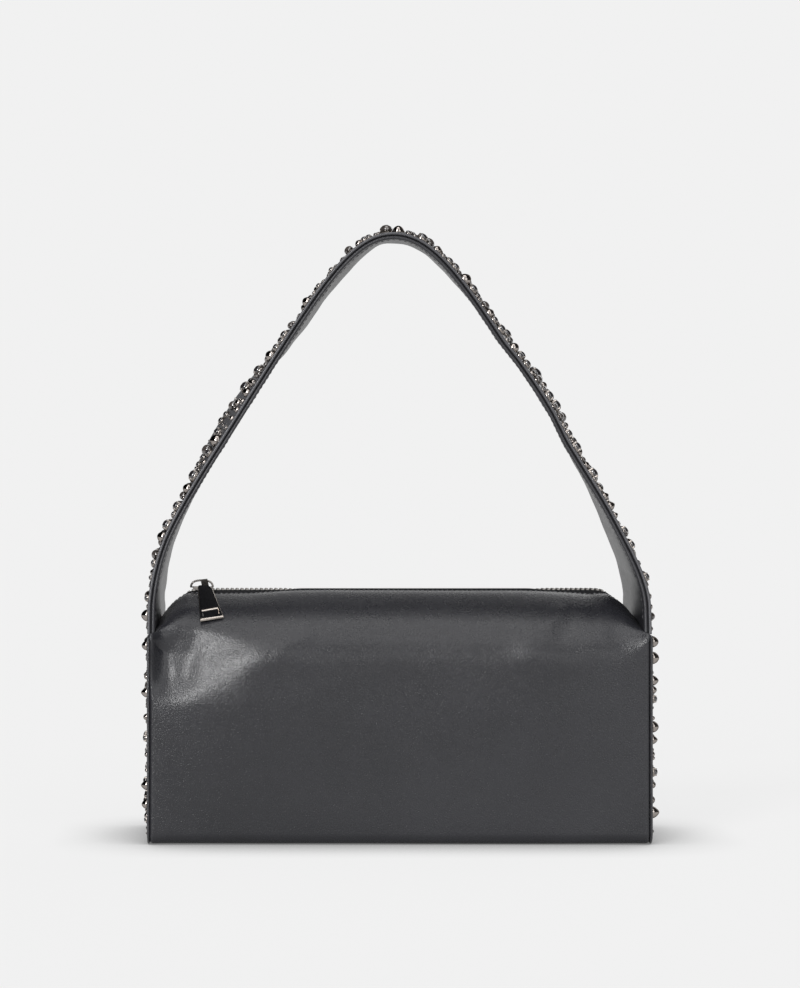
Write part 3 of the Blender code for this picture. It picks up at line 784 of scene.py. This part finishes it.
DOME = lathe([(1.0, 0.0), (1.0, 0.16), (0.96, 0.36), (0.84, 0.62), (0.64, 0.86), (0.40, 1.04), (0.18, 1.13),
              (0.05, 1.15)], 16)
CONE = lathe([(1.0, 0.0), (1.0, 0.14), (0.94, 0.34), (0.80, 0.60), (0.58, 0.86), (0.34, 1.07), (0.15, 1.18),
              (0.04, 1.21)], 14)
CUP = lathe([(1.02, 0.0), (1.08, 0.05), (1.08, 0.28), (1.02, 0.38), (0.94, 0.40), (0.90, 0.34)], 14)
RIM = lathe([(1.04, 0.0), (1.16, 0.05), (1.16, 0.13), (1.06, 0.18), (0.98, 0.16)], 16)
STONE = faceted(8, [(0.80, 0.18), (0.98, 0.44), (0.86, 0.72), (0.60, 0.98), (0.30, 1.12)], 0.0)
BEAD = faceted(7, [(0.60, 0.0), (0.94, 0.28), (1.0, 0.56), (0.82, 0.86), (0.48, 1.10), (0.2, 1.18)], 0.2)
PRONG = lathe([(0.16, 0.0), (0.16, 0.62), (0.14, 0.74), (0.07, 0.80)], 6)


def prongs(heap, origin, u, v, n, size):
    """Four claws round a stone."""
    for a in circle(4, 0.5):
        spot = np.asarray(origin) + (u * cos(a) + v * sin(a)) * size * 0.98
        heap.add(PRONG, spot, u, v, n, size * np.array([1, 1, 1.15]))


def place_stud(heaps, place, size, kind):
    """One stud of a kind: its foot, across, along and outward directions, and its radius."""
    origin, u, v, n = place
    if kind == "dome":
        heaps["stud"].add(DOME, origin, u, v, n, size * 0.94)
        heaps["claw"].add(RIM, origin, u, v, n, size * np.array([0.86, 0.86, 0.9]))
    elif kind == "cone":
        heaps["stud"].add(CONE, origin, u, v, n, size)
    elif kind == "bead":
        heaps["smoke"].add(BEAD, origin, u, v, n, size * 0.98)
        heaps["claw"].add(RIM, origin, u, v, n, size * np.array([0.8, 0.8, 0.8]))
    else:
        heaps["claw"].add(CUP, origin, u, v, n, size * 0.92)
        heaps["crystal"].add(STONE, origin, u, v, n, size * 0.94)
        prongs(heaps["claw"], origin, u, v, n, size * 0.9)


KINDS = ["dome", "stone", "cone", "stone", "bead", "dome", "stone", "bead"]
SIZES = (1.0, 0.62, 0.84, 0.70, 0.95, 0.56, 0.78)
SHIFTS = (0.10, -0.08, 0.0, -0.12, 0.06)
# the strap studs seen from in front: distance along it, share of its width from the front rim, radius, in mm
SEEN = (
    (9.8, 0.04, 2.97), (18.9, 0.04, 1.89), (29.9, 0.04, 1.35), (37.9, 0.04, 1.89), (42.5, 0.06, 2.43),
    (52.7, 0.04, 2.97), (59.6, 0.04, 2.97), (66.4, 0.04, 1.62), (71.0, 0.04, 2.70), (77.6, 0.08, 2.16),
    (82.0, 0.04, 2.70), (89.7, 0.06, 3.24), (96.1, 0.50, 1.89), (100.9, 0.45, 1.89), (105.2, 0.35, 2.97),
    (112.2, 0.06, 3.24), (116.8, 0.42, 2.43), (123.3, 0.80, 1.89), (127.6, 0.70, 1.89), (133.6, 0.57, 2.43),
    (136.2, 0.30, 1.89), (145.8, 0.48, 3.24), (150.4, 0.62, 1.62), (157.3, 0.38, 2.97), (161.8, 0.04, 1.35),
    (167.3, 0.06, 2.97), (172.7, 0.04, 2.16), (177.5, 0.04, 1.51), (180.8, 0.04, 2.43), (187.1, 0.04, 1.89),
    (202.6, 0.04, 2.70), (208.6, 0.04, 1.08), (213.3, 0.04, 1.62), (224.4, 0.04, 1.62), (238.4, 0.04, 2.43),
    (244.5, 0.04, 1.89), (248.0, 0.06, 1.89), (250.6, 0.04, 1.08), (254.2, 0.04, 1.08), (259.8, 0.05, 3.24),
    (265.7, 0.04, 2.97), (271.0, 0.04, 1.62), (274.4, 0.04, 1.08), (278.3, 0.05, 2.97), (282.1, 0.20, 2.70),
    (288.0, 0.04, 2.16), (292.7, 0.04, 1.35), (297.0, 0.04, 2.16), (301.4, 0.06, 2.43), (305.1, 0.04, 1.35),
    (309.9, 0.05, 3.24), (316.6, 0.04, 2.70), (320.9, 0.12, 1.89), (323.4, 0.04, 1.35), (327.7, 0.04, 2.43),
    (332.6, 0.04, 2.43), (337.1, 0.04, 2.16), (343.3, 0.04, 2.70), (346.7, 0.60, 2.70), (350.7, 0.40, 1.89),
    (355.7, 0.04, 2.70), (361.4, 0.30, 2.43), (366.9, 0.04, 2.43), (374.2, 0.30, 3.51), (378.5, 0.57, 1.62),
    (382.0, 0.70, 2.16), (386.1, 0.80, 1.62), (388.0, 0.05, 2.97), (394.7, 0.40, 3.24), (401.8, 0.50, 2.70),
    (407.3, 0.70, 1.89), (411.0, 0.04, 2.43), (416.6, 0.50, 2.43), (419.4, 0.04, 2.97), (427.1, 0.04, 1.62),
    (430.5, 0.08, 1.89), (436.4, 0.08, 3.24), (445.1, 0.30, 2.43), (451.9, 0.25, 2.16), (456.1, 0.25, 2.43),
    (462.4, 0.28, 1.89), (471.5, 0.10, 2.70), (479.5, 0.08, 2.43), (497.4, 0.04, 2.43), (518.1, 0.04, 1.89))
# growth of the seen studs, then foot, radii, height over radius, pitch and margin of the others, in metres
GROW = 1.18
SIDE_GROW = 1.15
STUD_FOOT = 0.0018
STUD_R = 0.0029
LEAST_R = 0.0007
STUD_TALL = 1.15
STUD_PITCH = 0.0064
STUD_MARGIN = 0.0012
BAND_ROWS, ROOT_ROWS = 78, 8
BAND_START, ROOT_RUN = 0.0463, 0.046


def stud_basis(s, share):
    """Foot, across, along and outward directions of the band at a place."""
    places = ((s, share), (s + 0.0005, share), (s, share + 0.01))
    p, q, w = [np.array(strap_point(*place, STUD_FOOT)) for place in places]
    b = unit(w - p)
    n = unit(np.cross(b, q - p))
    _, (nx, nz), _ = strap_frame(s, share)
    if n[0] * nx + n[2] * nz < 0:
        n = -n
    return p, b, np.cross(n, b), n


def rim_cover(s, share):
    """How much of a stud the front rim hides from a viewer in front, in metres."""
    (px, pz), (nx, nz), half = strap_frame(s, share)
    (fx, fz), _, front = strap_frame(s, -1)
    near = (-EYE[1] - front) / (share * half - EYE[1])
    return (fx - EYE[0] - (px - EYE[0]) * near) * nx + (fz - EYE[2] - (pz - EYE[2]) * near) * nz


def skyline(s):
    """Height that the studs seen from in front reach at a distance."""
    tall = LEAST_R
    for at, _, radius in SEEN:
        if abs(s * 1000 - at) < radius + 0.6:
            tall = max(tall, radius * GROW * 0.00095)
    return tall


def stud_heaps():
    return {key: Heap() for key in ("stud", "claw", "crystal", "smoke")}


def fitted(size, a, b, placed):
    """Radius left for a stud at (a, b) beside the ones already placed."""
    for other_a, other_b, radius in placed:
        size = min(size, hypot(a - other_a, b - other_b) - radius)
    return size


def strap_rows():
    """Distance and pattern number of each row: the band's, then those of both flexible ends."""
    rows = [((LENGTH - 2 * BAND_START) / BAND_ROWS * (i + 0.5) + BAND_START, i) for i in range(BAND_ROWS)]
    root = [ROOT_RUN / ROOT_ROWS * (i + 0.5) for i in range(ROOT_ROWS)]
    return rows + [(at, i) for i, at in enumerate(root)] + [(LENGTH - at, i + 3) for i, at in enumerate(root)]


def strap_studs():
    """The seen row first, then rows over the whole width that stay out of its outline."""
    heaps = stud_heaps()
    placed = []
    for k, (at, back, radius) in enumerate(SEEN):
        s, radius = at / 1000, radius * GROW / 1000
        half = strap_frame(s, 0.0)[2]
        share = (-1 + 2 * back) * (1 - (radius + 0.0002) / half)
        place_stud(heaps, stud_basis(s, share), radius, KINDS[(3 * k + k // 5) % 8])
        placed.append((s, share * half, radius))
    for s0, i in strap_rows():
        half = strap_frame(s0, 0.0)[2] - STUD_MARGIN
        count = max(int(round(2 * half / STUD_PITCH)), 6)
        for j in range(count):
            across = half * (1 - 2 * (j + 0.5) / count) + SHIFTS[(i + 2 * j) % 5] * half * 2.0 / count
            size = STUD_R * SIZES[(3 * i + 5 * j) % 7] * rng.uniform(0.9, 1.08)
            s = s0 + rng.uniform(-0.0006, 0.0006)
            share = across / (half + STUD_MARGIN)
            room = skyline(s) + rim_cover(s, share)
            size = fitted(min(size, max(room / STUD_TALL, LEAST_R)), s, across, placed)
            if size < LEAST_R:
                continue
            placed.append((s, across, size * 0.9))
            place_stud(heaps, stud_basis(s, share), size, rng.choice(KINDS))
    nodes = ["strap_studs", "root_studs_left", "root_studs_right"]
    for key, heap in heaps.items():
        obj = heap.make("strap_" + key + "_set", key, "studs", None, nodes)
        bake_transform(obj)


# the side studs seen from in front: height and radius, in millimetres
SIDE_SEEN = {
    "left": ((106.6, 2.4), (89.8, 1.35), (81.4, 2.4), (68.3, 1.7), (57.0, 1.95), (48.3, 1.1), (39.7, 1.0),
             (31.6, 2.4), (21.4, 2.4), (13.3, 1.4)),
    "right": ((108.6, 2.8), (99.9, 3.1), (87.8, 2.5), (82.8, 2.0), (78.0, 2.2), (67.7, 1.1), (62.9, 2.9),
              (56.0, 2.1), (46.3, 1.1), (38.8, 2.4), (31.8, 1.4), (23.7, 1.1), (17.0, 2.8)),
}


def side_studs(side, label):
    """The seen front row first, then an uneven grid over the whole panel."""
    heaps = stud_heaps()
    face = SIDE_FACE + 0.0014
    n = np.array([side, 0.0, 0.0])
    u = np.array([0.0, 1.0, 0.0])
    slope = (side * face - EYE[0]) / -EYE[1] * side
    placed = []

    def put(y, z, size, kind):
        place_stud(heaps, (np.array((side * (face - 0.0001), y, z)), u, np.cross(n, u), n), size, kind)

    for k, (z, radius) in enumerate(SIDE_SEEN[label]):
        y, z, size = -0.0436 + radius / 1000, z / 1000, radius * SIDE_GROW / 1000
        put(y, z, size, ("dome", "dome", "cone", "dome", "stone")[k % 5])
        placed.append((y, z, size))
    seen = list(placed)
    for i in range(13):
        for j in range(10):
            y = -0.0405 + 0.081 * j / 9 + rng.uniform(-0.0010, 0.0010) + (0.0030 if i % 2 and j < 9 else 0.0)
            z = 0.0065 + 0.1010 * i / 12 + rng.uniform(-0.0010, 0.0010)
            size = STUD_R * SIZES[(3 * i + 5 * j) % 7] * rng.uniform(0.85, 1.05)
            tall = max([r * 1.1 for _, at, r in seen if abs(at - z) < r + 0.0004] + [0.0008])
            size = min(size, (tall + slope * (y + 0.043)) / STUD_TALL, 0.0440 - abs(y))
            size = fitted(size, y, z, placed)
            if size < LEAST_R:
                continue
            placed.append((y, z, size * 0.9))
            put(y, z, size, rng.choice(KINDS))
    for key, heap in heaps.items():
        heap.make("side_%s_%s_set" % (label, key), key, "studs", "bag", ["side_studs_" + label])


strap_studs()
for end in ENDS:
    side_studs(*end)


# zip
TOOTH_PITCH = 0.00268
TEETH_FROM, TEETH_TO = -0.1262, 0.1263


def tooth(half_x, foot, head, half_z, tip):
    """One tooth from foot to head along y, rounded at its tip."""
    neck = half_x * 0.55
    outline = [(-half_x, foot), (half_x, foot), (half_x, head - tip), (neck, head), (-neck, head),
               (-half_x, head - tip)]
    bm = bmesh.new()
    prism(bm, outline, -half_z, half_z)
    bmesh.ops.recalc_face_normals(bm, faces=bm.faces[:])
    bmesh.ops.bevel(bm, geom=bm.edges[:], offset=half_x * 0.42, segments=2, affect="EDGES")
    bm.verts.ensure_lookup_table()
    points = np.array([tuple(v.co) for v in bm.verts])
    faces = [tuple(v.index for v in f.verts) for f in bm.faces]
    bm.free()
    return points, faces


TOOTH = tooth(0.00074, -0.0032, 0.0009, 0.0011, 0.0006)


def open_share(x):
    """1 where the lips stand apart and the teeth show, 0 where the lips close over them."""
    return step(-x, 0.052, 0.064) + step(x, 0.072, 0.084)


def zip_teeth(side, label):
    """One row of teeth along the ridge, smaller and set lower at both ends."""
    heap = Heap()
    x = TEETH_FROM + (TOOTH_PITCH / 2 if side > 0 else 0)
    while x < TEETH_TO:
        slope = (float(ridge_at(x + 0.0005)) - float(ridge_at(x - 0.0005))) / 0.001
        t = unit(np.array([1.0, 0.0, slope]))
        v = np.array([0.0, -side, 0.0])
        end = step(abs(x), 0.1120, 0.1170)
        drop = 0.0007 * end + 0.0005 * (1 - open_share(x))
        heap.add(TOOTH, (x, 0, float(ridge_at(x)) - drop), t, v, np.cross(t, v), 1 - 0.3 * end)
        x += TOOTH_PITCH * t[0] if abs(slope) > 0.05 else TOOTH_PITCH
    heap.make("teeth_" + label, "teeth", "zip_metal", "bag", ["zip_teeth_" + label], 30)


# the tape's rows: distance from the zip's middle, and depth below the ridge where it isn't under leather
TAPE_ROWS = ((0.0022, 0.00045), (0.0030, 0.00045), (0.0038, 0.0001), (0.0055, None), (0.0090, None),
             (0.0140, None))


def zip_tape(side, label):
    """Woven tape, from beside the teeth to under the leather."""
    rows = []
    for share in x_places(1.0, 121):
        x = share * TOP_X
        upper = section(x)[:38]
        row = []
        for y, depth in TAPE_ROWS:
            if depth is None:
                z = np.interp(y, upper[:, 0], upper[:, 1]) - 0.0021
            else:
                z = float(ridge_at(x)) - depth
            row.append((x, side * y, z))
        rows.append(row)
    obj = shell("tape_" + label, np.array(rows), 0.0005, "tape", side < 0)
    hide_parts("zip_tape_" + label)


for wall in WALLS:
    zip_teeth(*wall)
for wall in WALLS:
    zip_tape(*wall)


def tube(points, radius, name, mat, body, sides, squeeze=1.0):
    """Round wire along points."""
    pts = [Vector(p) for p in points]
    bm = bmesh.new()
    rings = []
    turns = circle(sides)
    for i, p in enumerate(pts):
        t = (pts[min(i + 1, len(pts) - 1)] - pts[max(i - 1, 0)]).normalized()
        u = Vector((0, 1, 0)).cross(t).normalized() * radius
        w = t.cross(u).normalized() * radius * squeeze
        rings.append([bm.verts.new(p + u * cos(a) + w * sin(a)) for a in turns])
    skin(bm, rings)
    from_bmesh(name, bm, mat, body, 50)


def stitches(name, line, normals, pitch, length, radius, body):
    """Thread stitches along a line: each arches out of the surface and dips back in."""
    line, normals = np.array(line), np.array(normals)
    run = np.concatenate([[0], np.cumsum(np.linalg.norm(np.diff(line, axis=0), axis=1))])

    def along(values, d):
        return np.array([np.interp(d, run, values[:, c]) for c in range(3)])

    heap = Heap()
    turns = circle(6)
    faces = grid_faces(5, 6, 0, True, True) + [tuple(range(6)), tuple(reversed(range(24, 30)))]
    at = pitch * 0.6
    while at < run[-1] - pitch * 0.6:
        rings = []
        for k in range(5):
            d = at + length * (k / 4 - 0.5)
            p, q, n = along(line, d), along(line, d + 0.0002), along(normals, d)
            t = (q - p) / max(np.linalg.norm(q - p), 1e-9)
            n = unit(n - t * np.dot(n, t))
            b = np.cross(n, t)
            share = abs(k / 2 - 1)
            p = p + n * radius * (0.35 - 1.1 * share ** 2)
            wide = radius * (1 - 0.35 * share)
            rings.append([p + wide * (n * sin(a) + b * cos(a)) for a in turns])
        heap.add((np.array(rings).reshape(-1, 3), faces), (0, 0, 0), *np.eye(3), 1.0)
        at += pitch
    return heap.make(name, "thread", "lining_cloth", body, (), 0)


def lip_stitches():
    """Stitching of the mouth's two lips."""
    for grid, (side, label) in zip((front_grid, back_grid), WALLS):
        flat = np.array([1, side, 1])
        normal = wall_normals(grid)[6:-6, 3] * flat
        stitches("lip_stitches_" + label, grid[6:-6, 3] * flat, normal, 0.0027, 0.0021, 0.00032, "bag")


def tape_beads():
    """Woven bead along the inner edge of both tapes, standing beside the teeth."""
    for side, label in WALLS:
        line = [(x, side * 0.0035, float(ridge_at(x)) + 0.0004 - 0.0007 * open_share(x))
                for x in x_places(0.1255, 121)]
        tube(line, 0.00042, "tape_bead_" + label, "tape", "bag", 8)


def strap_stitches():
    """Stitching along the front rim of the strap's inner face."""
    line, normals = [], []
    for i in range(400):
        s = 0.006 + (LENGTH - 0.012) * i / 399
        share = 0.0034 / strap_frame(s, -1)[2] - 1
        _, (nx, nz), _ = strap_frame(s, share)
        line.append(strap_point(s, share, -0.0023 - inner_puff(s, share)))
        normals.append((-nx, 0, -nz))
    obj = stitches("strap_stitches_front", line, normals, 0.0032, 0.0022, 0.00015, None)
    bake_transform(obj)


lip_stitches()
tape_beads()
strap_stitches()


def shield(grow):
    """Outline (x, y) of a slider plate: a rounded oblong that narrows toward the right."""
    outline = []
    for a in circle(32):
        c, s = cos(a), sin(a)
        x = 0.0066 * copysign(abs(c) ** 0.55, c)
        y = (0.0036 + grow) * copysign(abs(s) ** 0.6, s)
        outline.append((SLIDER_X + x, y * (1.0 - 0.14 * (x / 0.0066 + 1) / 2)))
    return outline


def slider():
    """Slider: shield-shaped plates with rolled flanges, and a round-wire crown."""
    bm = bmesh.new()
    for low, high, grow in ((0.0014, 0.0020, 0.0), (-0.0020, -0.0014, -0.0002)):
        prism(bm, shield(grow), RIDGE_Z + low, RIDGE_Z + high)
    bmesh.ops.recalc_face_normals(bm, faces=bm.faces[:])
    sharp = [e for e in bm.edges if e.is_manifold and e.calc_face_angle() > 0.9]
    bmesh.ops.bevel(bm, geom=sharp, offset=0.00018, segments=2, affect="EDGES")
    left, right, thin = SLIDER_X - 0.0050, SLIDER_X + 0.0058, 0.0002
    web = [(left, -thin), (left, thin), (right, thin), (right, -thin)]
    prism(bm, web, RIDGE_Z - 0.0015, RIDGE_Z + 0.0015)
    obj = from_bmesh("slider_body", bm, "slider", "slider")
    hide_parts("zipper_slider")
    foot, half = RIDGE_Z + 0.0016, 0.0060
    path = []
    for i in range(33):
        a = pi * (1 - i / 32)
        c, s = cos(a), sin(a)
        x = SLIDER_X + half * copysign(abs(c) ** 0.8, c)
        path.append((x, 0, foot + (HINGE_Z - foot) * s ** 0.8))
    tube(path, 0.00055, "slider_crown", "slider", "slider", 12, 1.15)


slider()


# half thickness of the plate, its stations down from the hinge, and its half widths
PLATE_HALF = 0.0008
PLATE_TOP, PLATE_NECK, PLATE_END = 0.0058, 0.0108, 0.0415
NECK_W, END_W = 0.0040, 0.0064
PULLER_PLACE = (Matrix.Translation((SLIDER_X, 0, HINGE_Z)) @ Matrix.Rotation(radians(28.6), 4, "X")
                @ Matrix.Translation((0.0006, 0, 0)) @ Matrix.Rotation(radians(8.3), 4, "Z")
                @ Matrix.Rotation(radians(-2.2), 4, "Y"))


def plate_ring(bm, z, inset, low=0.0):
    """Corners of the plate's outline at a height of its thickness."""
    end = PLATE_END - inset - low
    shape = [(PLATE_TOP + inset, -0.0031 + inset * 0.6), (PLATE_TOP + inset, 0.0018 - inset * 0.4),
             (PLATE_NECK + inset * 0.4, NECK_W - inset), (end - 0.0004, END_W - inset),
             (end + 0.0004, inset - END_W), (PLATE_TOP + 0.0012, inset - 0.0037)]
    return [bm.verts.new((w, -t, z)) for t, w in shape]


def window_ring(bm, z, grow):
    """Corners of the sunk window."""
    wide, high, low = 0.0043 + grow, 0.0323 - grow, 0.0380 + grow
    middle = (high + low) / 2
    shape = [(high, -wide), (high, wide), (middle, wide), (low, wide), (low, -wide), (middle, -wide)]
    return [bm.verts.new((w, -t + 0.14 * w, z)) for t, w in shape]


def puller_plate():
    """Flat tapered plate: black enamel faces, bare bevels and a sunk window."""
    bm = bmesh.new()
    loops = [plate_ring(bm, -PLATE_HALF, 0.0003), plate_ring(bm, 0.0003 - PLATE_HALF, 0.0),
             plate_ring(bm, PLATE_HALF - 0.0004, 0.0), plate_ring(bm, PLATE_HALF, 0.0004, 0.0002)]
    for depth, grow in ((0.0, 0.0004), (0.00012, 0.00035), (0.00060, 0.0), (0.00070, -0.0002)):
        loops.append(window_ring(bm, PLATE_HALF - depth, grow))
    bands = skin(bm, loops)
    for k in (0, 1, 2, 4, 5):
        for face in bands[k]:
            face.material_index = 1
    bm.transform(PULLER_PLACE)
    obj = from_bmesh("puller_plate", bm, "enamel", "puller", 15)
    obj.data.materials.append(M["bevel"])
    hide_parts("puller_tab")


def puller_tongue():
    """Tongue that goes over the crown's wire and back under the plate."""
    r = 0.00078
    line = [(-PLATE_HALF + 0.0002, -0.0070), (-r, -0.0030), (-r, -0.0005)]
    line += [(r * sin(radians(a)), r * cos(radians(a))) for a in range(-60, 91, 15)]
    line += [(r, -0.0030), (PLATE_HALF - 0.0002, -0.0070)]
    bm = bmesh.new()
    rings = []
    for k, (z, y) in enumerate(line):
        a, b = line[max(k - 1, 0)], line[min(k + 1, len(line) - 1)]
        t = Vector((b[0] - a[0], b[1] - a[1])).normalized() * 0.00018
        rings.append([bm.verts.new((x, y - 0.0006 + t[0] * turn, z - t[1] * turn))
                      for x, turn in ((-0.0012, 1), (0.0024, 1), (0.0024, -1), (-0.0012, -1))])
    skin(bm, rings)
    bm.transform(PULLER_PLACE)
    from_bmesh("puller_tongue", bm, "slider", "puller")


puller_plate()
puller_tongue()

# finishes of the frame's own nodes
LOOKS = {
    "base_panel": "body", "base_board": "base_board", "lining_base": "lining",
    "side_stiffener_left": "stiffener", "side_stiffener_right": "stiffener",
    "lining_side_left": "lining", "lining_side_right": "lining",
    "zip_stop_left": "teeth", "zip_stop_right": "teeth",
}
for node, look in LOOKS.items():
    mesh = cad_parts[node].data
    mesh.materials.clear()
    mesh.materials.append(M[look])

# studio
# tone of floor and backdrop, even light of the world, and share of the floor that shows the lamps' shadow
PALE = 0.879
AMBIENT = 0.30
VEIL = 0.10
# share of the backdrop that mirror rays see, by place from in front (0) to behind (1)
ROOM = ((0.0, 0.65), (1.0, 1.0), (0.03, 0.6), (0.09, 0.05), (0.70, 0.05), (0.88, 1.0))
# lamps: name, degrees round the front, degrees up, strength and spread
SUNS = (("key", -28, 21, 2.3, 18), ("key_high", -25, 50, 0.7, 24), ("fill", 28, 19, 0.65, 36),
        ("fill_high", 28, 56, 0.35, 26), ("top", 0, 85, 0.58, 30), ("back", 150, 26, 0.4, 40))


def sky_share():
    """Light on a level white floor from the lamps and the world."""
    return AMBIENT + sum(power * sin(radians(up)) / pi for _, _, up, power, _ in SUNS)


def floor_material():
    """Pale glowing floor whose glow holds the bag's soft contact shadow, painted from ambient occlusion;
    other rays see plain pale paint.
    """
    n = Nodes(bpy.data.materials.new("floor_look"))
    n.tree.nodes.clear()
    paint = n.node("BsdfDiffuse", {"Color": (0.8, 0.8, 0.8, 1)})
    veil = n.node("BsdfDiffuse", {"Color": (VEIL, VEIL, VEIL, 1)})
    # ambient occlusion near the bag darkens the floor's glow: a painted contact shadow
    near = n.node("AmbientOcclusion", {"Distance": 0.055}, samples=8)
    glow_with_painted_shadow = n.remap(near.outputs["AO"], 0.30, 0.96, 0.16, PALE - VEIL * sky_share())
    glow_with_painted_shadow = n.node("Emission", {"Strength": glow_with_painted_shadow})
    shown = n.node("AddShader", {0: veil.outputs[0], 1: glow_with_painted_shadow.outputs[0]})
    seen = n.seen_by("Is Camera Ray", "Is Glossy Ray", "Is Transmission Ray")
    pick = n.node("MixShader", {0: seen, 1: paint.outputs[0], 2: shown.outputs[0]})
    n.node("OutputMaterial", {"Surface": pick.outputs[0]})
    return n.owner


def pale_floor():
    reach, height = 40.0, -0.0002
    corners = [(x * reach, y * reach, height) for x, y in ((-1, -1), (1, -1), (1, 1), (-1, 1))]
    mesh = bpy.data.meshes.new("floor")
    mesh.from_pydata(corners, [], [(0, 1, 2, 3)])
    mesh.materials.append(floor_material())
    floor = add("floor", mesh)


def studio_world():
    """Even light; mirror rays see a pale backdrop, a soft patch in front, dark sides and a dim ceiling."""
    world = bpy.data.worlds.new("studio")
    bpy.context.scene.world = world
    n = Nodes(world)
    toward = n.node("SeparateXYZ", {0: n.node("TexCoord").outputs["Generated"]}).outputs
    height = n.remap(toward["Z"], 0.50, 0.88, PALE, 0.18)
    ramp = n.node("ValToRGB", {"Fac": n.remap(toward["Y"], -1.0, 1.0, 0.0, 1.0)})
    stops = ramp.color_ramp.elements
    for k, (at, share) in enumerate(ROOM):
        stop = stops[k] if k < 2 else stops.new(at)
        stop.position = at
        stop.color = (share, share, share, 1)
    left = n.math("MULTIPLY", ramp.outputs["Color"], n.remap(toward["X"], -0.26, -0.08, 0.05, 1.0))
    around = n.math("MULTIPLY", height, left)
    room = n.node("Mix", {"Factor": n.seen_by("Is Glossy Ray"), 2: AMBIENT, 3: around})
    seen = n.seen_by("Is Camera Ray", "Is Transmission Ray")
    shown = n.node("Mix", {"Factor": seen, 2: room.outputs[0], 3: PALE})
    background = n.tree.nodes["Background"]
    n.tree.links.new(shown.outputs[0], background.inputs["Strength"])
    background.inputs["Color"].default_value = (1, 1, 1, 1)


def sun(name, azimuth, up, power, spread):
    """Soft lamp of the given azimuth, height, strength and spread."""
    lamp = bpy.data.lights.new(name, "SUN")
    lamp.energy = power
    lamp.angle = radians(spread)
    obj = add(name, lamp)
    a, e = radians(azimuth), radians(up)
    toward = Vector((sin(a) * cos(e), -cos(a) * cos(e), sin(e)))
    obj.rotation_euler = toward.to_track_quat("Z", "Y").to_euler()
    obj.location = toward * 2


def photo_camera():
    camera = bpy.data.cameras.new("camera")
    camera.sensor_width = 36.0
    camera.lens = 98.6
    camera.shift_x = 0.1096
    camera.clip_start, camera.clip_end = 0.05, 60
    cam = add("camera", camera)
    cam.location = EYE
    cam.rotation_euler = (pi / 2, 0, 0)
    bpy.context.scene.camera = cam
    bpy.context.scene.view_settings.view_transform = "Standard"


pale_floor()
studio_world()
for row in SUNS:
    sun(*row)
photo_camera()
